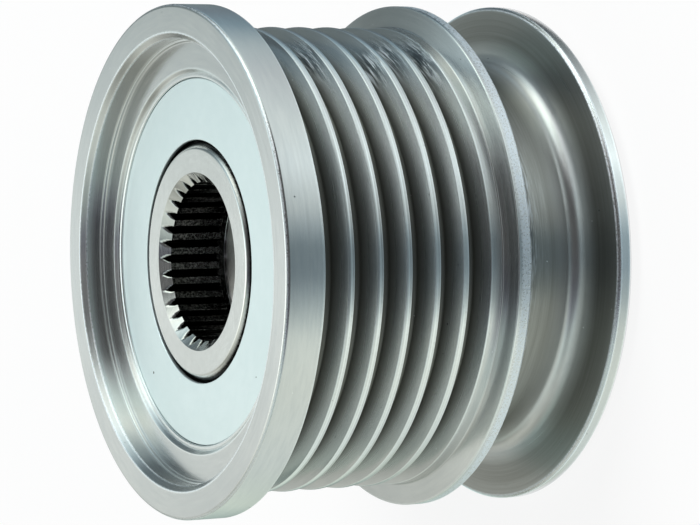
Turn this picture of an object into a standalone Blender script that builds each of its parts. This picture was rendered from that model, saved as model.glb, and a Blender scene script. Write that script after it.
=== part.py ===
"""Freewheeling ribbed belt pulley for a shaft with a threaded end.

The part stands on the rear end of its hub with its axis along +Z, so the front
face, where the splined tool socket is, looks up. The origin lies on the axis at
the lowest level of the hub.

A turned pulley runs on a hub. Between them sit, from front to rear, a pressed
cover plate with a rubber seal, a thrust washer, a caged needle bearing, a roller
clutch with sprung rollers on ramps, a second needle bearing, a second washer and
a second seal and cover. Lengths are in millimetres until the meshes are made.
"""

from __future__ import annotations

import math
from dataclasses import dataclass

import bmesh
import bpy
from mathutils import Matrix, Vector

MM = 0.001

# Clearances
FIT_GAP = 0.3
RUN_GAP = 0.3

# Belt track, listed from the front face to the rear face
RIM_RADIUS = 29.3
RIM_CHAMFER = 0.3
FRONT_RIM_WIDTH = 4.5
FRONT_LAND = 1.42
RIB_COUNT = 6
RIB_PITCH = 3.56
RIB_TIP_RADIUS = 26.8
RIB_TIP_LAND = 0.75
RIB_DEPTH = 2.6
RIB_ANGLE = math.radians(40.0)
REAR_LAND = 1.46
MIDDLE_RIM_RISE = 0.6
MIDDLE_RIM_LAND = 1.7
ROUND_GROOVE_WIDTH = 11.25
ROUND_GROOVE_FLOOR_RADIUS = 22.0
ROUND_GROOVE_DRAFT = math.radians(5.3)
ROUND_GROOVE_FILLET = 1.5
REAR_RIM_WIDTH = 2.0
REAR_RIM_CHAMFER = 0.5

# Dished front face of the pulley
FACE_RING_WIDTH = 3.9
FACE_EDGE_CHAMFER = 0.65
DISH_WALL_DEPTH = 2.35
DISH_STEP = 0.25
DISH_FILLET = 0.6
DISH_DEPTH = 2.75
COVER_LIP_CHAMFER = 0.5

# Cover plates and seals
FRONT_COVER_WIDTH = 7.2
FRONT_COVER_DEPTH = 3.4
FRONT_COVER_THICKNESS = 1.0
FRONT_COVER_FILLET = 0.5
REAR_COVER_WIDTH = 7.0
REAR_COVER_DEPTH = 0.4
REAR_COVER_THICKNESS = 0.8
SEAL_WALL = 1.0
SEAL_WEB = 1.2
SEAL_LIP_LENGTH = 2.9
SEAL_LIP_WIDTH = 0.6

# Hub
HUB_FACE_DEPTH = 3.2
HUB_REAR_STEP = 1.0
HUB_EDGE_CHAMFER = 0.3
HUB_WALL = 1.6
SPLINE_COUNT = 33
SPLINE_TIP_RADIUS = 9.1
SPLINE_DEPTH = 0.85
SPLINE_TOOTH_LAND = 0.8
SPLINE_FLANK_ANGLE = math.radians(30.0)
SPLINE_LENGTH = 7.3
SPLINE_MOUTH_CHAMFER = 1.1
RELIEF_DEPTH = 0.25
RELIEF_LENGTH = 1.2
SHOULDER_LENGTH = 2.2
THREAD_MINOR_RADIUS = 7.2
PILOT_RADIUS = 8.5
PILOT_LENGTH = 12.0
PILOT_CHAMFER = 0.5

# Bearings and clutch
WASHER_THICKNESS = 1.0
INNER_RING_WALL = 1.5
SLEEVE_WALL = 0.9
SLEEVE_LIP_THICKNESS = 0.8
SLEEVE_LIP_CLEARANCE = 1.1
NEEDLE_COUNT = 14
NEEDLE_DIAMETER = 2.6
NEEDLE_CHAMFER = 0.25
NEEDLE_CAGE_LENGTH = 7.4
NEEDLE_CAGE_RIM = 0.8
CAGE_WALL = 1.8
ROLLER_COUNT = 8
ROLLER_DIAMETER = 3.0
ROLLER_CHAMFER = 0.3
CLUTCH_CAGE_RIM = 1.0
RAMP_ANGLE = math.radians(4.0)
SPRING_SPAN = 2.4
SPRING_LEAF = 0.25
SPRING_WIDTH = 1.6
SPRING_FOLDS = 4

# Radii that follow from the hub outwards
SPLINE_ROOT_RADIUS = SPLINE_TIP_RADIUS + SPLINE_DEPTH
RELIEF_RADIUS = SPLINE_ROOT_RADIUS + RELIEF_DEPTH
HUB_SEAT_RADIUS = RELIEF_RADIUS + HUB_WALL
RING_BORE_RADIUS = HUB_SEAT_RADIUS + FIT_GAP
RACE_RADIUS = RING_BORE_RADIUS + INNER_RING_WALL
NEEDLE_PITCH_RADIUS = RACE_RADIUS + RUN_GAP + NEEDLE_DIAMETER / 2
SLEEVE_BORE_RADIUS = RACE_RADIUS + NEEDLE_DIAMETER + 2 * RUN_GAP
SLEEVE_RADIUS = SLEEVE_BORE_RADIUS + SLEEVE_WALL
SLEEVE_LIP_RADIUS = RACE_RADIUS + SLEEVE_LIP_CLEARANCE
BORE_RADIUS = SLEEVE_RADIUS + FIT_GAP
ROLLER_PITCH_RADIUS = SLEEVE_BORE_RADIUS - RUN_GAP - ROLLER_DIAMETER / 2
WASHER_RADIUS = BORE_RADIUS - FIT_GAP - SEAL_WALL - RUN_GAP
FRONT_COVER_HOLE = RACE_RADIUS + RUN_GAP
FRONT_COVER_RADIUS = FRONT_COVER_HOLE + FRONT_COVER_WIDTH
REAR_COVER_HOLE = HUB_SEAT_RADIUS + RUN_GAP
REAR_COVER_RADIUS = REAR_COVER_HOLE + REAR_COVER_WIDTH

# Depths below the front face that follow from the pieces
RIBS_START = FRONT_RIM_WIDTH + FRONT_LAND
RIBS_END = RIBS_START + RIB_COUNT * RIB_PITCH - RIB_TIP_LAND
MIDDLE_RIM_START = RIBS_END + REAR_LAND
ROUND_GROOVE_START = MIDDLE_RIM_START + MIDDLE_RIM_RISE + MIDDLE_RIM_LAND
ROUND_GROOVE_END = ROUND_GROOVE_START + ROUND_GROOVE_WIDTH
PULLEY_WIDTH = ROUND_GROOVE_END + REAR_RIM_WIDTH
HUB_END = PULLEY_WIDTH + HUB_REAR_STEP
FRONT_SHOULDER = FRONT_COVER_DEPTH + FRONT_COVER_THICKNESS + FIT_GAP
FRONT_WASHER = FRONT_SHOULDER + SEAL_LIP_LENGTH + 2 * RUN_GAP
SLEEVE_START = FRONT_WASHER + WASHER_THICKNESS + RUN_GAP
REAR_SHOULDER = PULLEY_WIDTH - REAR_COVER_DEPTH - REAR_COVER_THICKNESS - FIT_GAP
REAR_WASHER = REAR_SHOULDER - SEAL_LIP_LENGTH - 2 * RUN_GAP - WASHER_THICKNESS
SLEEVE_END = REAR_WASHER - RUN_GAP
FRONT_CAGE = SLEEVE_START + SLEEVE_LIP_THICKNESS + RUN_GAP
REAR_CAGE = SLEEVE_END - SLEEVE_LIP_THICKNESS - RUN_GAP - NEEDLE_CAGE_LENGTH
CLUTCH_START = FRONT_CAGE + NEEDLE_CAGE_LENGTH + RUN_GAP
CLUTCH_END = REAR_CAGE - RUN_GAP
CLUTCH_MIDDLE = (CLUTCH_START + CLUTCH_END) / 2
ROLLER_LENGTH = CLUTCH_END - CLUTCH_START - 2 * (CLUTCH_CAGE_RIM + RUN_GAP)
NEEDLE_LENGTH = NEEDLE_CAGE_LENGTH - 2 * (NEEDLE_CAGE_RIM + RUN_GAP)

# Facets around a full turn
PULLEY_FACETS = 48
HUB_FACETS = 40
RING_FACETS = 32
NEEDLE_FACETS = 8
ROLLER_FACETS = 10


@dataclass(frozen=True)
class Corner:
    """One corner of a turned outline.

    Attributes:
        radius: Distance from the axis.
        depth: Distance below the front face of the pulley.
        fillet: Radius that rounds the corner.
        chamfer: Leg of a chamfer that breaks the corner.
        steps: Straight pieces that make up a fillet.
    """

    radius: float
    depth: float
    fillet: float = 0.0
    chamfer: float = 0.0
    steps: int = 3


@dataclass(frozen=True)
class Finish:
    """Plain surface values of one material."""

    name: str
    colour: tuple[float, float, float]
    roughness: float
    metallic: float


ZINC_STEEL = Finish("zinc_plated_steel", (0.58, 0.61, 0.61), 0.28, 1.0)
PASSIVATED_PLATE = Finish("passivated_plate", (0.66, 0.76, 0.77), 0.32, 1.0)
TURNED_STEEL = Finish("turned_steel", (0.60, 0.60, 0.58), 0.30, 1.0)
BEARING_STEEL = Finish("bearing_steel", (0.62, 0.62, 0.63), 0.15, 1.0)
SPRING_STEEL = Finish("spring_steel", (0.50, 0.50, 0.47), 0.25, 1.0)
SEAL_RUBBER = Finish("seal_rubber", (0.02, 0.02, 0.02), 0.70, 0.0)
CAGE_POLYMER = Finish("cage_polymer", (0.62, 0.52, 0.34), 0.50, 0.0)


def clear_scene() -> None:
    """Remove every object, mesh and material that the file holds."""
    for item in list(bpy.data.objects):
        bpy.data.objects.remove(item, do_unlink=True)
    for store in (bpy.data.meshes, bpy.data.materials):
        for item in list(store):
            store.remove(item)


def make_material(finish: Finish) -> bpy.types.Material:
    """Return the Principled material of a finish, made on its first use."""
    found = bpy.data.materials.get(finish.name)
    if found is not None:
        return found
    material = bpy.data.materials.new(finish.name)
    material.use_nodes = True
    shader = material.node_tree.nodes["Principled BSDF"]
    shader.inputs["Base Color"].default_value = (*finish.colour, 1.0)
    shader.inputs["Roughness"].default_value = finish.roughness
    shader.inputs["Metallic"].default_value = finish.metallic
    material.diffuse_color = (*finish.colour, 1.0)
    return material


def level(depth: float) -> float:
    """Return the height above the floor of a depth below the front face."""
    return HUB_END - depth


def outline(corners: list[Corner]) -> list[Vector]:
    """Return the points (radius, 0, height) of a closed turned outline.

    A fillet is an arc that meets both edges of its corner, and a chamfer is one
    straight cut. Both stay within half of the shorter edge beside them.
    """
    points: list[Vector] = []
    places = [Vector((corner.radius, 0.0, level(corner.depth))) for corner in corners]
    for index, corner in enumerate(corners):
        here = places[index]
        back = places[index - 1] - here
        ahead = places[(index + 1) % len(places)] - here
        if corner.fillet == 0.0 and corner.chamfer == 0.0:
            points.append(here)
            continue
        half_angle = back.angle(ahead) / 2
        reach = min(back.length, ahead.length) * 0.5
        if corner.chamfer:
            leg = min(corner.chamfer, reach)
            points.append(here + back.normalized() * leg)
            points.append(here + ahead.normalized() * leg)
            continue
        leg = min(corner.fillet / math.tan(half_angle), reach)
        radius = leg * math.tan(half_angle)
        middle = (back.normalized() + ahead.normalized()).normalized()
        centre = here + middle * (radius / math.sin(half_angle))
        start = here + back.normalized() * leg - centre
        finish = here + ahead.normalized() * leg - centre
        for step in range(corner.steps + 1):
            turn = start.normalized().slerp(finish.normalized(), step / corner.steps)
            points.append(centre + turn * radius)
    return points


def add_mesh_object(
    name: str,
    mesh: bpy.types.Mesh,
    location: Vector = Vector((0.0, 0.0, 0.0)),
    turn: float = 0.0,
) -> bpy.types.Object:
    """Link an object at a place in millimetres, turned about the axis."""
    item = bpy.data.objects.new(name, mesh)
    item.location = location * MM
    item.rotation_euler = (0.0, 0.0, turn)
    bpy.context.scene.collection.objects.link(item)
    return item


def finish_mesh(name: str, shape: bmesh.types.BMesh, finish: Finish) -> bpy.types.Mesh:
    """Turn a shape in millimetres into a shaded mesh in metres."""
    bmesh.ops.recalc_face_normals(shape, faces=shape.faces)
    bmesh.ops.scale(shape, vec=(MM, MM, MM), verts=shape.verts)
    mesh = bpy.data.meshes.new(name)
    shape.to_mesh(mesh)
    shape.free()
    mesh.materials.append(make_material(finish))
    mesh.shade_smooth()
    mesh.set_sharp_from_angle(angle=math.radians(25.0))
    return mesh


def turned_piece(name: str, corners: list[Corner], facets: int, finish: Finish) -> bpy.types.Object:
    """Spin a closed outline about the axis into a ring-shaped piece."""
    shape = bmesh.new()
    rim = [shape.verts.new(point) for point in outline(corners)]
    edges = [shape.edges.new((rim[index - 1], rim[index])) for index in range(len(rim))]
    bmesh.ops.spin(
        shape,
        geom=rim + edges,
        cent=(0.0, 0.0, 0.0),
        axis=(0.0, 0.0, 1.0),
        angle=math.tau,
        steps=facets,
        use_merge=True,
    )
    return add_mesh_object(name, finish_mesh(name, shape, finish))


def roller_mesh(name: str, diameter: float, length: float, chamfer: float, facets: int) -> bpy.types.Mesh:
    """Return a cylinder along Z with both end edges chamfered, centred on its origin."""
    shape = bmesh.new()
    bmesh.ops.create_cone(
        shape,
        cap_ends=True,
        segments=facets,
        radius1=diameter / 2,
        radius2=diameter / 2,
        depth=length,
    )
    end_edges = [edge for edge in shape.edges if abs(edge.verts[0].co.z - edge.verts[1].co.z) < length / 2]
    bmesh.ops.bevel(shape, geom=end_edges, offset=chamfer, segments=1, affect="EDGES")
    return finish_mesh(name, shape, BEARING_STEEL)


def block(shape: bmesh.types.BMesh, low: Vector, high: Vector, place: Matrix) -> None:
    """Add a box between two corners, moved by a placing matrix."""
    size = high - low
    middle = (low + high) / 2
    box = place @ Matrix.Translation(middle) @ Matrix.Diagonal((*size, 1.0))
    bmesh.ops.create_cube(shape, size=1.0, matrix=box)


def cut(target: bpy.types.Object, name: str, shape: bmesh.types.BMesh) -> None:
    """Cut a shape out of a piece with a Boolean whose cutter isn't rendered."""
    cutter = add_mesh_object(name, finish_mesh(name, shape, BEARING_STEEL))
    cutter.hide_render = True
    cutter.display_type = "WIRE"
    modifier = target.modifiers.new(name, "BOOLEAN")
    modifier.operation = "DIFFERENCE"
    modifier.solver = "EXACT"
    modifier.object = cutter


def around(index: int, count: int) -> float:
    """Return the angle of one of several equal stations round the axis."""
    return math.tau * index / count


def station(angle: float, depth: float) -> Matrix:
    """Return the frame at an angle: X points away from the axis, Y along the turn."""
    return Matrix.Rotation(angle, 4, "Z") @ Matrix.Translation((0.0, 0.0, level(depth)))


def belt_track() -> list[Corner]:
    """Return the outside of the pulley from the front face to the rear face."""
    groove_half = (RIB_PITCH - RIB_TIP_LAND) / 2
    floor_half = groove_half - RIB_DEPTH * math.tan(RIB_ANGLE / 2)
    floor_radius = RIB_TIP_RADIUS - RIB_DEPTH
    lean = (RIM_RADIUS - ROUND_GROOVE_FLOOR_RADIUS) * math.tan(ROUND_GROOVE_DRAFT)
    corners = [
        Corner(RIM_RADIUS, 0.0, chamfer=RIM_CHAMFER),
        Corner(RIM_RADIUS, FRONT_RIM_WIDTH),
        Corner(RIB_TIP_RADIUS, FRONT_RIM_WIDTH),
    ]
    for rib in range(RIB_COUNT):
        middle = RIBS_START + groove_half + rib * RIB_PITCH
        corners.append(Corner(RIB_TIP_RADIUS, middle - groove_half))
        corners.append(Corner(floor_radius, middle - floor_half))
        corners.append(Corner(floor_radius, middle + floor_half))
        corners.append(Corner(RIB_TIP_RADIUS, middle + groove_half))
    corners += [
        Corner(RIB_TIP_RADIUS, MIDDLE_RIM_START),
        Corner(RIM_RADIUS, MIDDLE_RIM_START + MIDDLE_RIM_RISE),
        Corner(RIM_RADIUS, ROUND_GROOVE_START, chamfer=RIM_CHAMFER),
        Corner(ROUND_GROOVE_FLOOR_RADIUS, ROUND_GROOVE_START + lean, fillet=ROUND_GROOVE_FILLET),
        Corner(ROUND_GROOVE_FLOOR_RADIUS, ROUND_GROOVE_END - lean, fillet=ROUND_GROOVE_FILLET),
        Corner(RIM_RADIUS, ROUND_GROOVE_END, chamfer=RIM_CHAMFER),
        Corner(RIM_RADIUS, PULLEY_WIDTH, chamfer=REAR_RIM_CHAMFER),
    ]
    return corners


def pulley_bore() -> list[Corner]:
    """Return the inside of the pulley from the rear face to the dished front face."""
    dish_radius = RIM_RADIUS - FACE_RING_WIDTH
    front_seat = FRONT_COVER_RADIUS + FIT_GAP
    rear_seat = REAR_COVER_RADIUS + FIT_GAP
    return [
        Corner(rear_seat, PULLEY_WIDTH),
        Corner(rear_seat, REAR_SHOULDER),
        Corner(BORE_RADIUS, REAR_SHOULDER),
        Corner(BORE_RADIUS, FRONT_SHOULDER),
        Corner(front_seat, FRONT_SHOULDER),
        Corner(front_seat, DISH_DEPTH, chamfer=COVER_LIP_CHAMFER),
        Corner(dish_radius - DISH_STEP, DISH_DEPTH, fillet=DISH_FILLET, steps=2),
        Corner(dish_radius - DISH_STEP, DISH_WALL_DEPTH),
        Corner(dish_radius, DISH_WALL_DEPTH),
        Corner(dish_radius, 0.0, chamfer=FACE_EDGE_CHAMFER),
    ]


def make_pulley() -> None:
    """Turn the pulley with its ribbed track, its round groove and its stepped bore."""
    turned_piece("pulley", belt_track() + pulley_bore(), PULLEY_FACETS, ZINC_STEEL)


def spline_cutter() -> bmesh.types.BMesh:
    """Return the star-shaped prism that cuts the pointed valleys between the teeth.

    The straight flanks of two valleys are carried inwards until they meet, which
    happens in the open bore.
    """
    half_pitch = math.pi / SPLINE_COUNT
    mouth_half = SPLINE_TIP_RADIUS * half_pitch - SPLINE_TOOTH_LAND / 2
    slope = math.tan(SPLINE_FLANK_ANGLE)
    meet_radius = (mouth_half + slope * SPLINE_TIP_RADIUS) / (slope + half_pitch)
    top = level(HUB_FACE_DEPTH - SPLINE_MOUTH_CHAMFER)
    bottom = level(HUB_FACE_DEPTH + SPLINE_LENGTH + RELIEF_LENGTH / 2)
    shape = bmesh.new()
    corners = []
    for index in range(2 * SPLINE_COUNT):
        radius = SPLINE_ROOT_RADIUS if index % 2 == 0 else meet_radius
        angle = half_pitch * index
        place = (radius * math.cos(angle), radius * math.sin(angle), bottom)
        corners.append(shape.verts.new(place))
    base = shape.faces.new(corners)
    raised = bmesh.ops.extrude_face_region(shape, geom=[base])["geom"]
    lifted = [item for item in raised if isinstance(item, bmesh.types.BMVert)]
    bmesh.ops.translate(shape, vec=(0.0, 0.0, top - bottom), verts=lifted)
    return shape


def make_hub() -> None:
    """Turn the hub, with the splined socket in front and the pilot bore at the rear."""
    spline_end = HUB_FACE_DEPTH + SPLINE_LENGTH
    relief_end = spline_end + RELIEF_LENGTH
    thread_start = relief_end + SHOULDER_LENGTH
    pilot_start = HUB_END - PILOT_LENGTH
    pilot_cone = PILOT_RADIUS - THREAD_MINOR_RADIUS
    corners = [
        Corner(RACE_RADIUS, HUB_FACE_DEPTH, chamfer=HUB_EDGE_CHAMFER),
        Corner(RACE_RADIUS, FRONT_WASHER - RUN_GAP),
        Corner(HUB_SEAT_RADIUS, FRONT_WASHER - RUN_GAP),
        Corner(HUB_SEAT_RADIUS, HUB_END, chamfer=HUB_EDGE_CHAMFER),
        Corner(PILOT_RADIUS, HUB_END, chamfer=PILOT_CHAMFER),
        Corner(PILOT_RADIUS, pilot_start),
        Corner(THREAD_MINOR_RADIUS, pilot_start - pilot_cone),
        Corner(THREAD_MINOR_RADIUS, thread_start),
        Corner(RELIEF_RADIUS, relief_end),
        Corner(RELIEF_RADIUS, spline_end),
        Corner(SPLINE_TIP_RADIUS, spline_end),
        Corner(SPLINE_TIP_RADIUS, HUB_FACE_DEPTH, chamfer=SPLINE_MOUTH_CHAMFER),
    ]
    hub = turned_piece("hub", corners, HUB_FACETS, TURNED_STEEL)
    cut(hub, "spline_cutter", spline_cutter())


def make_covers() -> None:
    """Stamp the two flat rings that close the pulley's ends round the hub."""
    front_back = FRONT_COVER_DEPTH + FRONT_COVER_THICKNESS
    rear_face = PULLEY_WIDTH - REAR_COVER_DEPTH
    rear_back = rear_face - REAR_COVER_THICKNESS
    front = [
        Corner(FRONT_COVER_HOLE, FRONT_COVER_DEPTH, chamfer=FRONT_COVER_FILLET / 4),
        Corner(FRONT_COVER_RADIUS, FRONT_COVER_DEPTH, fillet=FRONT_COVER_FILLET, steps=2),
        Corner(FRONT_COVER_RADIUS, front_back),
        Corner(FRONT_COVER_HOLE, front_back),
    ]
    rear = [
        Corner(REAR_COVER_HOLE, rear_back),
        Corner(REAR_COVER_RADIUS, rear_back),
        Corner(REAR_COVER_RADIUS, rear_face),
        Corner(REAR_COVER_HOLE, rear_face),
    ]
    turned_piece("front_cover_plate", front, PULLEY_FACETS, PASSIVATED_PLATE)
    turned_piece("rear_cover_plate", rear, RING_FACETS, PASSIVATED_PLATE)


def seal_corners(edge: float, inward: float, lip_radius: float, leg_end: float) -> list[Corner]:
    """Return the section of a seal: a leg in the bore, a web and a lip on the shaft.

    Args:
        edge: Depth of the web's outer side.
        inward: +1 if the seal reaches deeper from its web, -1 if it reaches back.
        lip_radius: Radius of the lip's running edge.
        leg_end: Depth where the outer leg ends.
    """
    outer = BORE_RADIUS - FIT_GAP
    web = edge + inward * SEAL_WEB
    lip_end = edge + inward * SEAL_LIP_LENGTH
    return [
        Corner(lip_radius, edge),
        Corner(outer, edge),
        Corner(outer, leg_end),
        Corner(outer - SEAL_WALL, leg_end),
        Corner(outer - SEAL_WALL, web),
        Corner(lip_radius + 2 * SEAL_LIP_WIDTH, web),
        Corner(lip_radius + SEAL_LIP_WIDTH, lip_end),
        Corner(lip_radius, lip_end),
    ]


def make_seals() -> None:
    """Mould the two rubber seals whose legs fill the bore out to the bearing sleeve."""
    front = seal_corners(FRONT_SHOULDER, 1.0, FRONT_COVER_HOLE, SLEEVE_START - FIT_GAP)
    rear = seal_corners(REAR_SHOULDER, -1.0, REAR_COVER_HOLE, SLEEVE_END + FIT_GAP)
    turned_piece("front_seal", front, RING_FACETS, SEAL_RUBBER)
    turned_piece("rear_seal", rear, RING_FACETS, SEAL_RUBBER)


def make_washers() -> None:
    """Make the two thrust washers that sit on the hub at both ends of the inner ring."""
    for name, start in (("front_thrust_washer", FRONT_WASHER), ("rear_thrust_washer", REAR_WASHER)):
        corners = [
            Corner(RING_BORE_RADIUS, start),
            Corner(WASHER_RADIUS, start),
            Corner(WASHER_RADIUS, start + WASHER_THICKNESS),
            Corner(RING_BORE_RADIUS, start + WASHER_THICKNESS),
        ]
        turned_piece(name, corners, RING_FACETS, BEARING_STEEL)


def make_bearing_sleeve() -> None:
    """Draw the hardened sleeve in the pulley's bore, with a lip at each end."""
    corners = [
        Corner(SLEEVE_LIP_RADIUS, SLEEVE_START),
        Corner(SLEEVE_RADIUS, SLEEVE_START, chamfer=SLEEVE_WALL / 3),
        Corner(SLEEVE_RADIUS, SLEEVE_END, chamfer=SLEEVE_WALL / 3),
        Corner(SLEEVE_LIP_RADIUS, SLEEVE_END),
        Corner(SLEEVE_LIP_RADIUS, SLEEVE_END - SLEEVE_LIP_THICKNESS),
        Corner(SLEEVE_BORE_RADIUS, SLEEVE_END - SLEEVE_LIP_THICKNESS),
        Corner(SLEEVE_BORE_RADIUS, SLEEVE_START + SLEEVE_LIP_THICKNESS),
        Corner(SLEEVE_LIP_RADIUS, SLEEVE_START + SLEEVE_LIP_THICKNESS),
    ]
    turned_piece("bearing_sleeve", corners, RING_FACETS, BEARING_STEEL)


def make_inner_ring() -> None:
    """Make the hardened ring on the hub: two plain raceways with ramps between them.

    A ramp is a flat, turned by the ramp angle about the middle of its roller, so
    that the roller wedges as it moves towards the shallow end.
    """
    corners = [
        Corner(RING_BORE_RADIUS, SLEEVE_START),
        Corner(RACE_RADIUS, SLEEVE_START),
        Corner(RACE_RADIUS, SLEEVE_END),
        Corner(RING_BORE_RADIUS, SLEEVE_END),
    ]
    ring = turned_piece("clutch_inner_ring", corners, RING_FACETS, BEARING_STEEL)
    half_length = ROLLER_LENGTH / 2 + RUN_GAP
    ramp_height = ROLLER_DIAMETER / 2 + RUN_GAP
    shape = bmesh.new()
    for index in range(ROLLER_COUNT):
        place = station(around(index, ROLLER_COUNT), CLUTCH_MIDDLE)
        place = place @ Matrix.Translation((ROLLER_PITCH_RADIUS, 0.0, 0.0))
        place = place @ Matrix.Rotation(RAMP_ANGLE, 4, "Z")
        low = Vector((-ramp_height, -ROLLER_DIAMETER, -half_length))
        high = Vector((ramp_height, ROLLER_DIAMETER + SPRING_SPAN / 2, half_length))
        block(shape, low, high, place)
    cut(ring, "ramp_cutter", shape)


def make_needle_bearing(side: str, start: float) -> None:
    """Make one caged needle bearing whose cage starts at a depth below the front face."""
    wall_half = CAGE_WALL / 2
    end = start + NEEDLE_CAGE_LENGTH
    corners = [
        Corner(NEEDLE_PITCH_RADIUS - wall_half, start),
        Corner(NEEDLE_PITCH_RADIUS + wall_half, start),
        Corner(NEEDLE_PITCH_RADIUS + wall_half, end),
        Corner(NEEDLE_PITCH_RADIUS - wall_half, end),
    ]
    cage = turned_piece(f"{side}_needle_cage", corners, 2 * NEEDLE_COUNT, CAGE_POLYMER)
    middle = (start + end) / 2
    pocket_half = NEEDLE_DIAMETER / 2 + RUN_GAP
    length_half = NEEDLE_LENGTH / 2 + RUN_GAP
    shape = bmesh.new()
    for index in range(NEEDLE_COUNT):
        low = Vector((NEEDLE_PITCH_RADIUS - CAGE_WALL, -pocket_half, -length_half))
        high = Vector((NEEDLE_PITCH_RADIUS + CAGE_WALL, pocket_half, length_half))
        block(shape, low, high, station(around(index, NEEDLE_COUNT), middle))
    cut(cage, f"{side}_pocket_cutter", shape)
    mesh = roller_mesh(f"{side}_needle", NEEDLE_DIAMETER, NEEDLE_LENGTH, NEEDLE_CHAMFER, NEEDLE_FACETS)
    for index in range(NEEDLE_COUNT):
        angle = around(index, NEEDLE_COUNT)
        place = station(angle, middle) @ Vector((NEEDLE_PITCH_RADIUS, 0.0, 0.0))
        add_mesh_object(f"{side}_needle_{index + 1:02d}", mesh, place, angle)


def window_start() -> float:
    """Return where a clutch window starts, measured along the turn from its roller."""
    return -(ROLLER_DIAMETER / 2 + RUN_GAP)


def window_end() -> float:
    """Return where a clutch window ends, past its roller and its spring."""
    return ROLLER_DIAMETER / 2 + 2 * RUN_GAP + SPRING_SPAN + RUN_GAP


def make_clutch_cage() -> None:
    """Mould the cage that keeps the rollers and springs on their ramps."""
    inner = RACE_RADIUS + RUN_GAP
    outer = SLEEVE_BORE_RADIUS - RUN_GAP
    corners = [
        Corner(inner, CLUTCH_START),
        Corner(outer, CLUTCH_START),
        Corner(outer, CLUTCH_END),
        Corner(inner, CLUTCH_END),
    ]
    cage = turned_piece("clutch_cage", corners, RING_FACETS, CAGE_POLYMER)
    half_length = ROLLER_LENGTH / 2 + RUN_GAP
    shape = bmesh.new()
    for index in range(ROLLER_COUNT):
        low = Vector((inner - CAGE_WALL, window_start(), -half_length))
        high = Vector((outer + CAGE_WALL, window_end(), half_length))
        block(shape, low, high, station(around(index, ROLLER_COUNT), CLUTCH_MIDDLE))
    cut(cage, "clutch_window_cutter", shape)


def make_clutch_rollers() -> None:
    """Place one roller over the middle of each ramp."""
    mesh = roller_mesh("clutch_roller", ROLLER_DIAMETER, ROLLER_LENGTH, ROLLER_CHAMFER, ROLLER_FACETS)
    for index in range(ROLLER_COUNT):
        angle = around(index, ROLLER_COUNT)
        place = station(angle, CLUTCH_MIDDLE) @ Vector((ROLLER_PITCH_RADIUS, 0.0, 0.0))
        add_mesh_object(f"clutch_roller_{index + 1}", mesh, place, angle)


def spring_mesh() -> bpy.types.Mesh:
    """Return a folded leaf spring whose folds touch the roller and the cage in turn.

    The leaf zigzags along the roller's length, and is as wide along X, which
    points away from the axis. Its origin is in the middle of its span.
    """
    reach = (SPRING_SPAN - SPRING_LEAF) / 2
    half_length = ROLLER_LENGTH / 2 - RUN_GAP
    line = []
    for fold in range(SPRING_FOLDS + 1):
        side = reach if fold % 2 == 0 else -reach
        line.append((side, half_length * (2 * fold / SPRING_FOLDS - 1)))
    shape = bmesh.new()
    leaf_half = SPRING_LEAF / 2
    front = [shape.verts.new((-SPRING_WIDTH / 2, along - leaf_half, height)) for along, height in line]
    back = [shape.verts.new((-SPRING_WIDTH / 2, along + leaf_half, height)) for along, height in line]
    strips = [
        shape.faces.new((front[fold], front[fold + 1], back[fold + 1], back[fold]))
        for fold in range(SPRING_FOLDS)
    ]
    raised = bmesh.ops.extrude_face_region(shape, geom=strips)["geom"]
    lifted = [item for item in raised if isinstance(item, bmesh.types.BMVert)]
    bmesh.ops.translate(shape, vec=(SPRING_WIDTH, 0.0, 0.0), verts=lifted)
    return finish_mesh("clutch_spring", shape, SPRING_STEEL)


def make_clutch_springs() -> None:
    """Place one leaf spring between each roller and the end of its window."""
    mesh = spring_mesh()
    along = window_end() - RUN_GAP - SPRING_SPAN / 2
    for index in range(ROLLER_COUNT):
        angle = around(index, ROLLER_COUNT)
        place = station(angle, CLUTCH_MIDDLE) @ Vector((ROLLER_PITCH_RADIUS, along, 0.0))
        add_mesh_object(f"clutch_spring_{index + 1}", mesh, place, angle)


def main() -> None:
    """Build the whole pulley."""
    clear_scene()
    make_pulley()
    make_hub()
    make_covers()
    make_seals()
    make_washers()
    make_bearing_sleeve()
    make_inner_ring()
    make_needle_bearing("front", FRONT_CAGE)
    make_needle_bearing("rear", REAR_CAGE)
    make_clutch_cage()
    make_clutch_rollers()
    make_clutch_springs()


if __name__ == "__main__":
    main()
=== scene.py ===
"""Looks of a freewheeling ribbed belt pulley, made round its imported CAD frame.

Sizes in the classes are millimetres, and a depth is measured down from the front
face of the pulley, as on a turner's drawing. Meshes are made in metres. The axis of
the pulley is Z and its front face looks up.
"""

import logging
import math
from dataclasses import dataclass, field
from enum import Enum
from typing import Any

import bpy
import numpy as np
from mathutils import Matrix, Vector


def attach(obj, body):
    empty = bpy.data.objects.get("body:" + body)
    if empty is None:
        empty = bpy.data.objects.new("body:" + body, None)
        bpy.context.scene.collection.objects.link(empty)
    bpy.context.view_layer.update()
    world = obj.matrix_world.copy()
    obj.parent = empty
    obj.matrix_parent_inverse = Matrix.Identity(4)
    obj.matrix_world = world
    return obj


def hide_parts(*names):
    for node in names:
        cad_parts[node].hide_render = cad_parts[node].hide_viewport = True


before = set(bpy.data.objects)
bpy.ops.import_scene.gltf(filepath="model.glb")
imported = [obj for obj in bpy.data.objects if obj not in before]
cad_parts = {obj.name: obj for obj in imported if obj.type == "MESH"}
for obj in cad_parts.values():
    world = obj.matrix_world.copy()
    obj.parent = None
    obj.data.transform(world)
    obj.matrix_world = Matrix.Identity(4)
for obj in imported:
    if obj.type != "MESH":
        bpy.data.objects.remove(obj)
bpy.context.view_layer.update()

LOG = logging.getLogger("belt_pulley")
MM = 0.001
HUB_END = 44.54  # depth of the hub's rear end, on which the part stands
FILLET_SHARE = 0.48  # of its shorter neighbour that a fillet may take up
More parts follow.
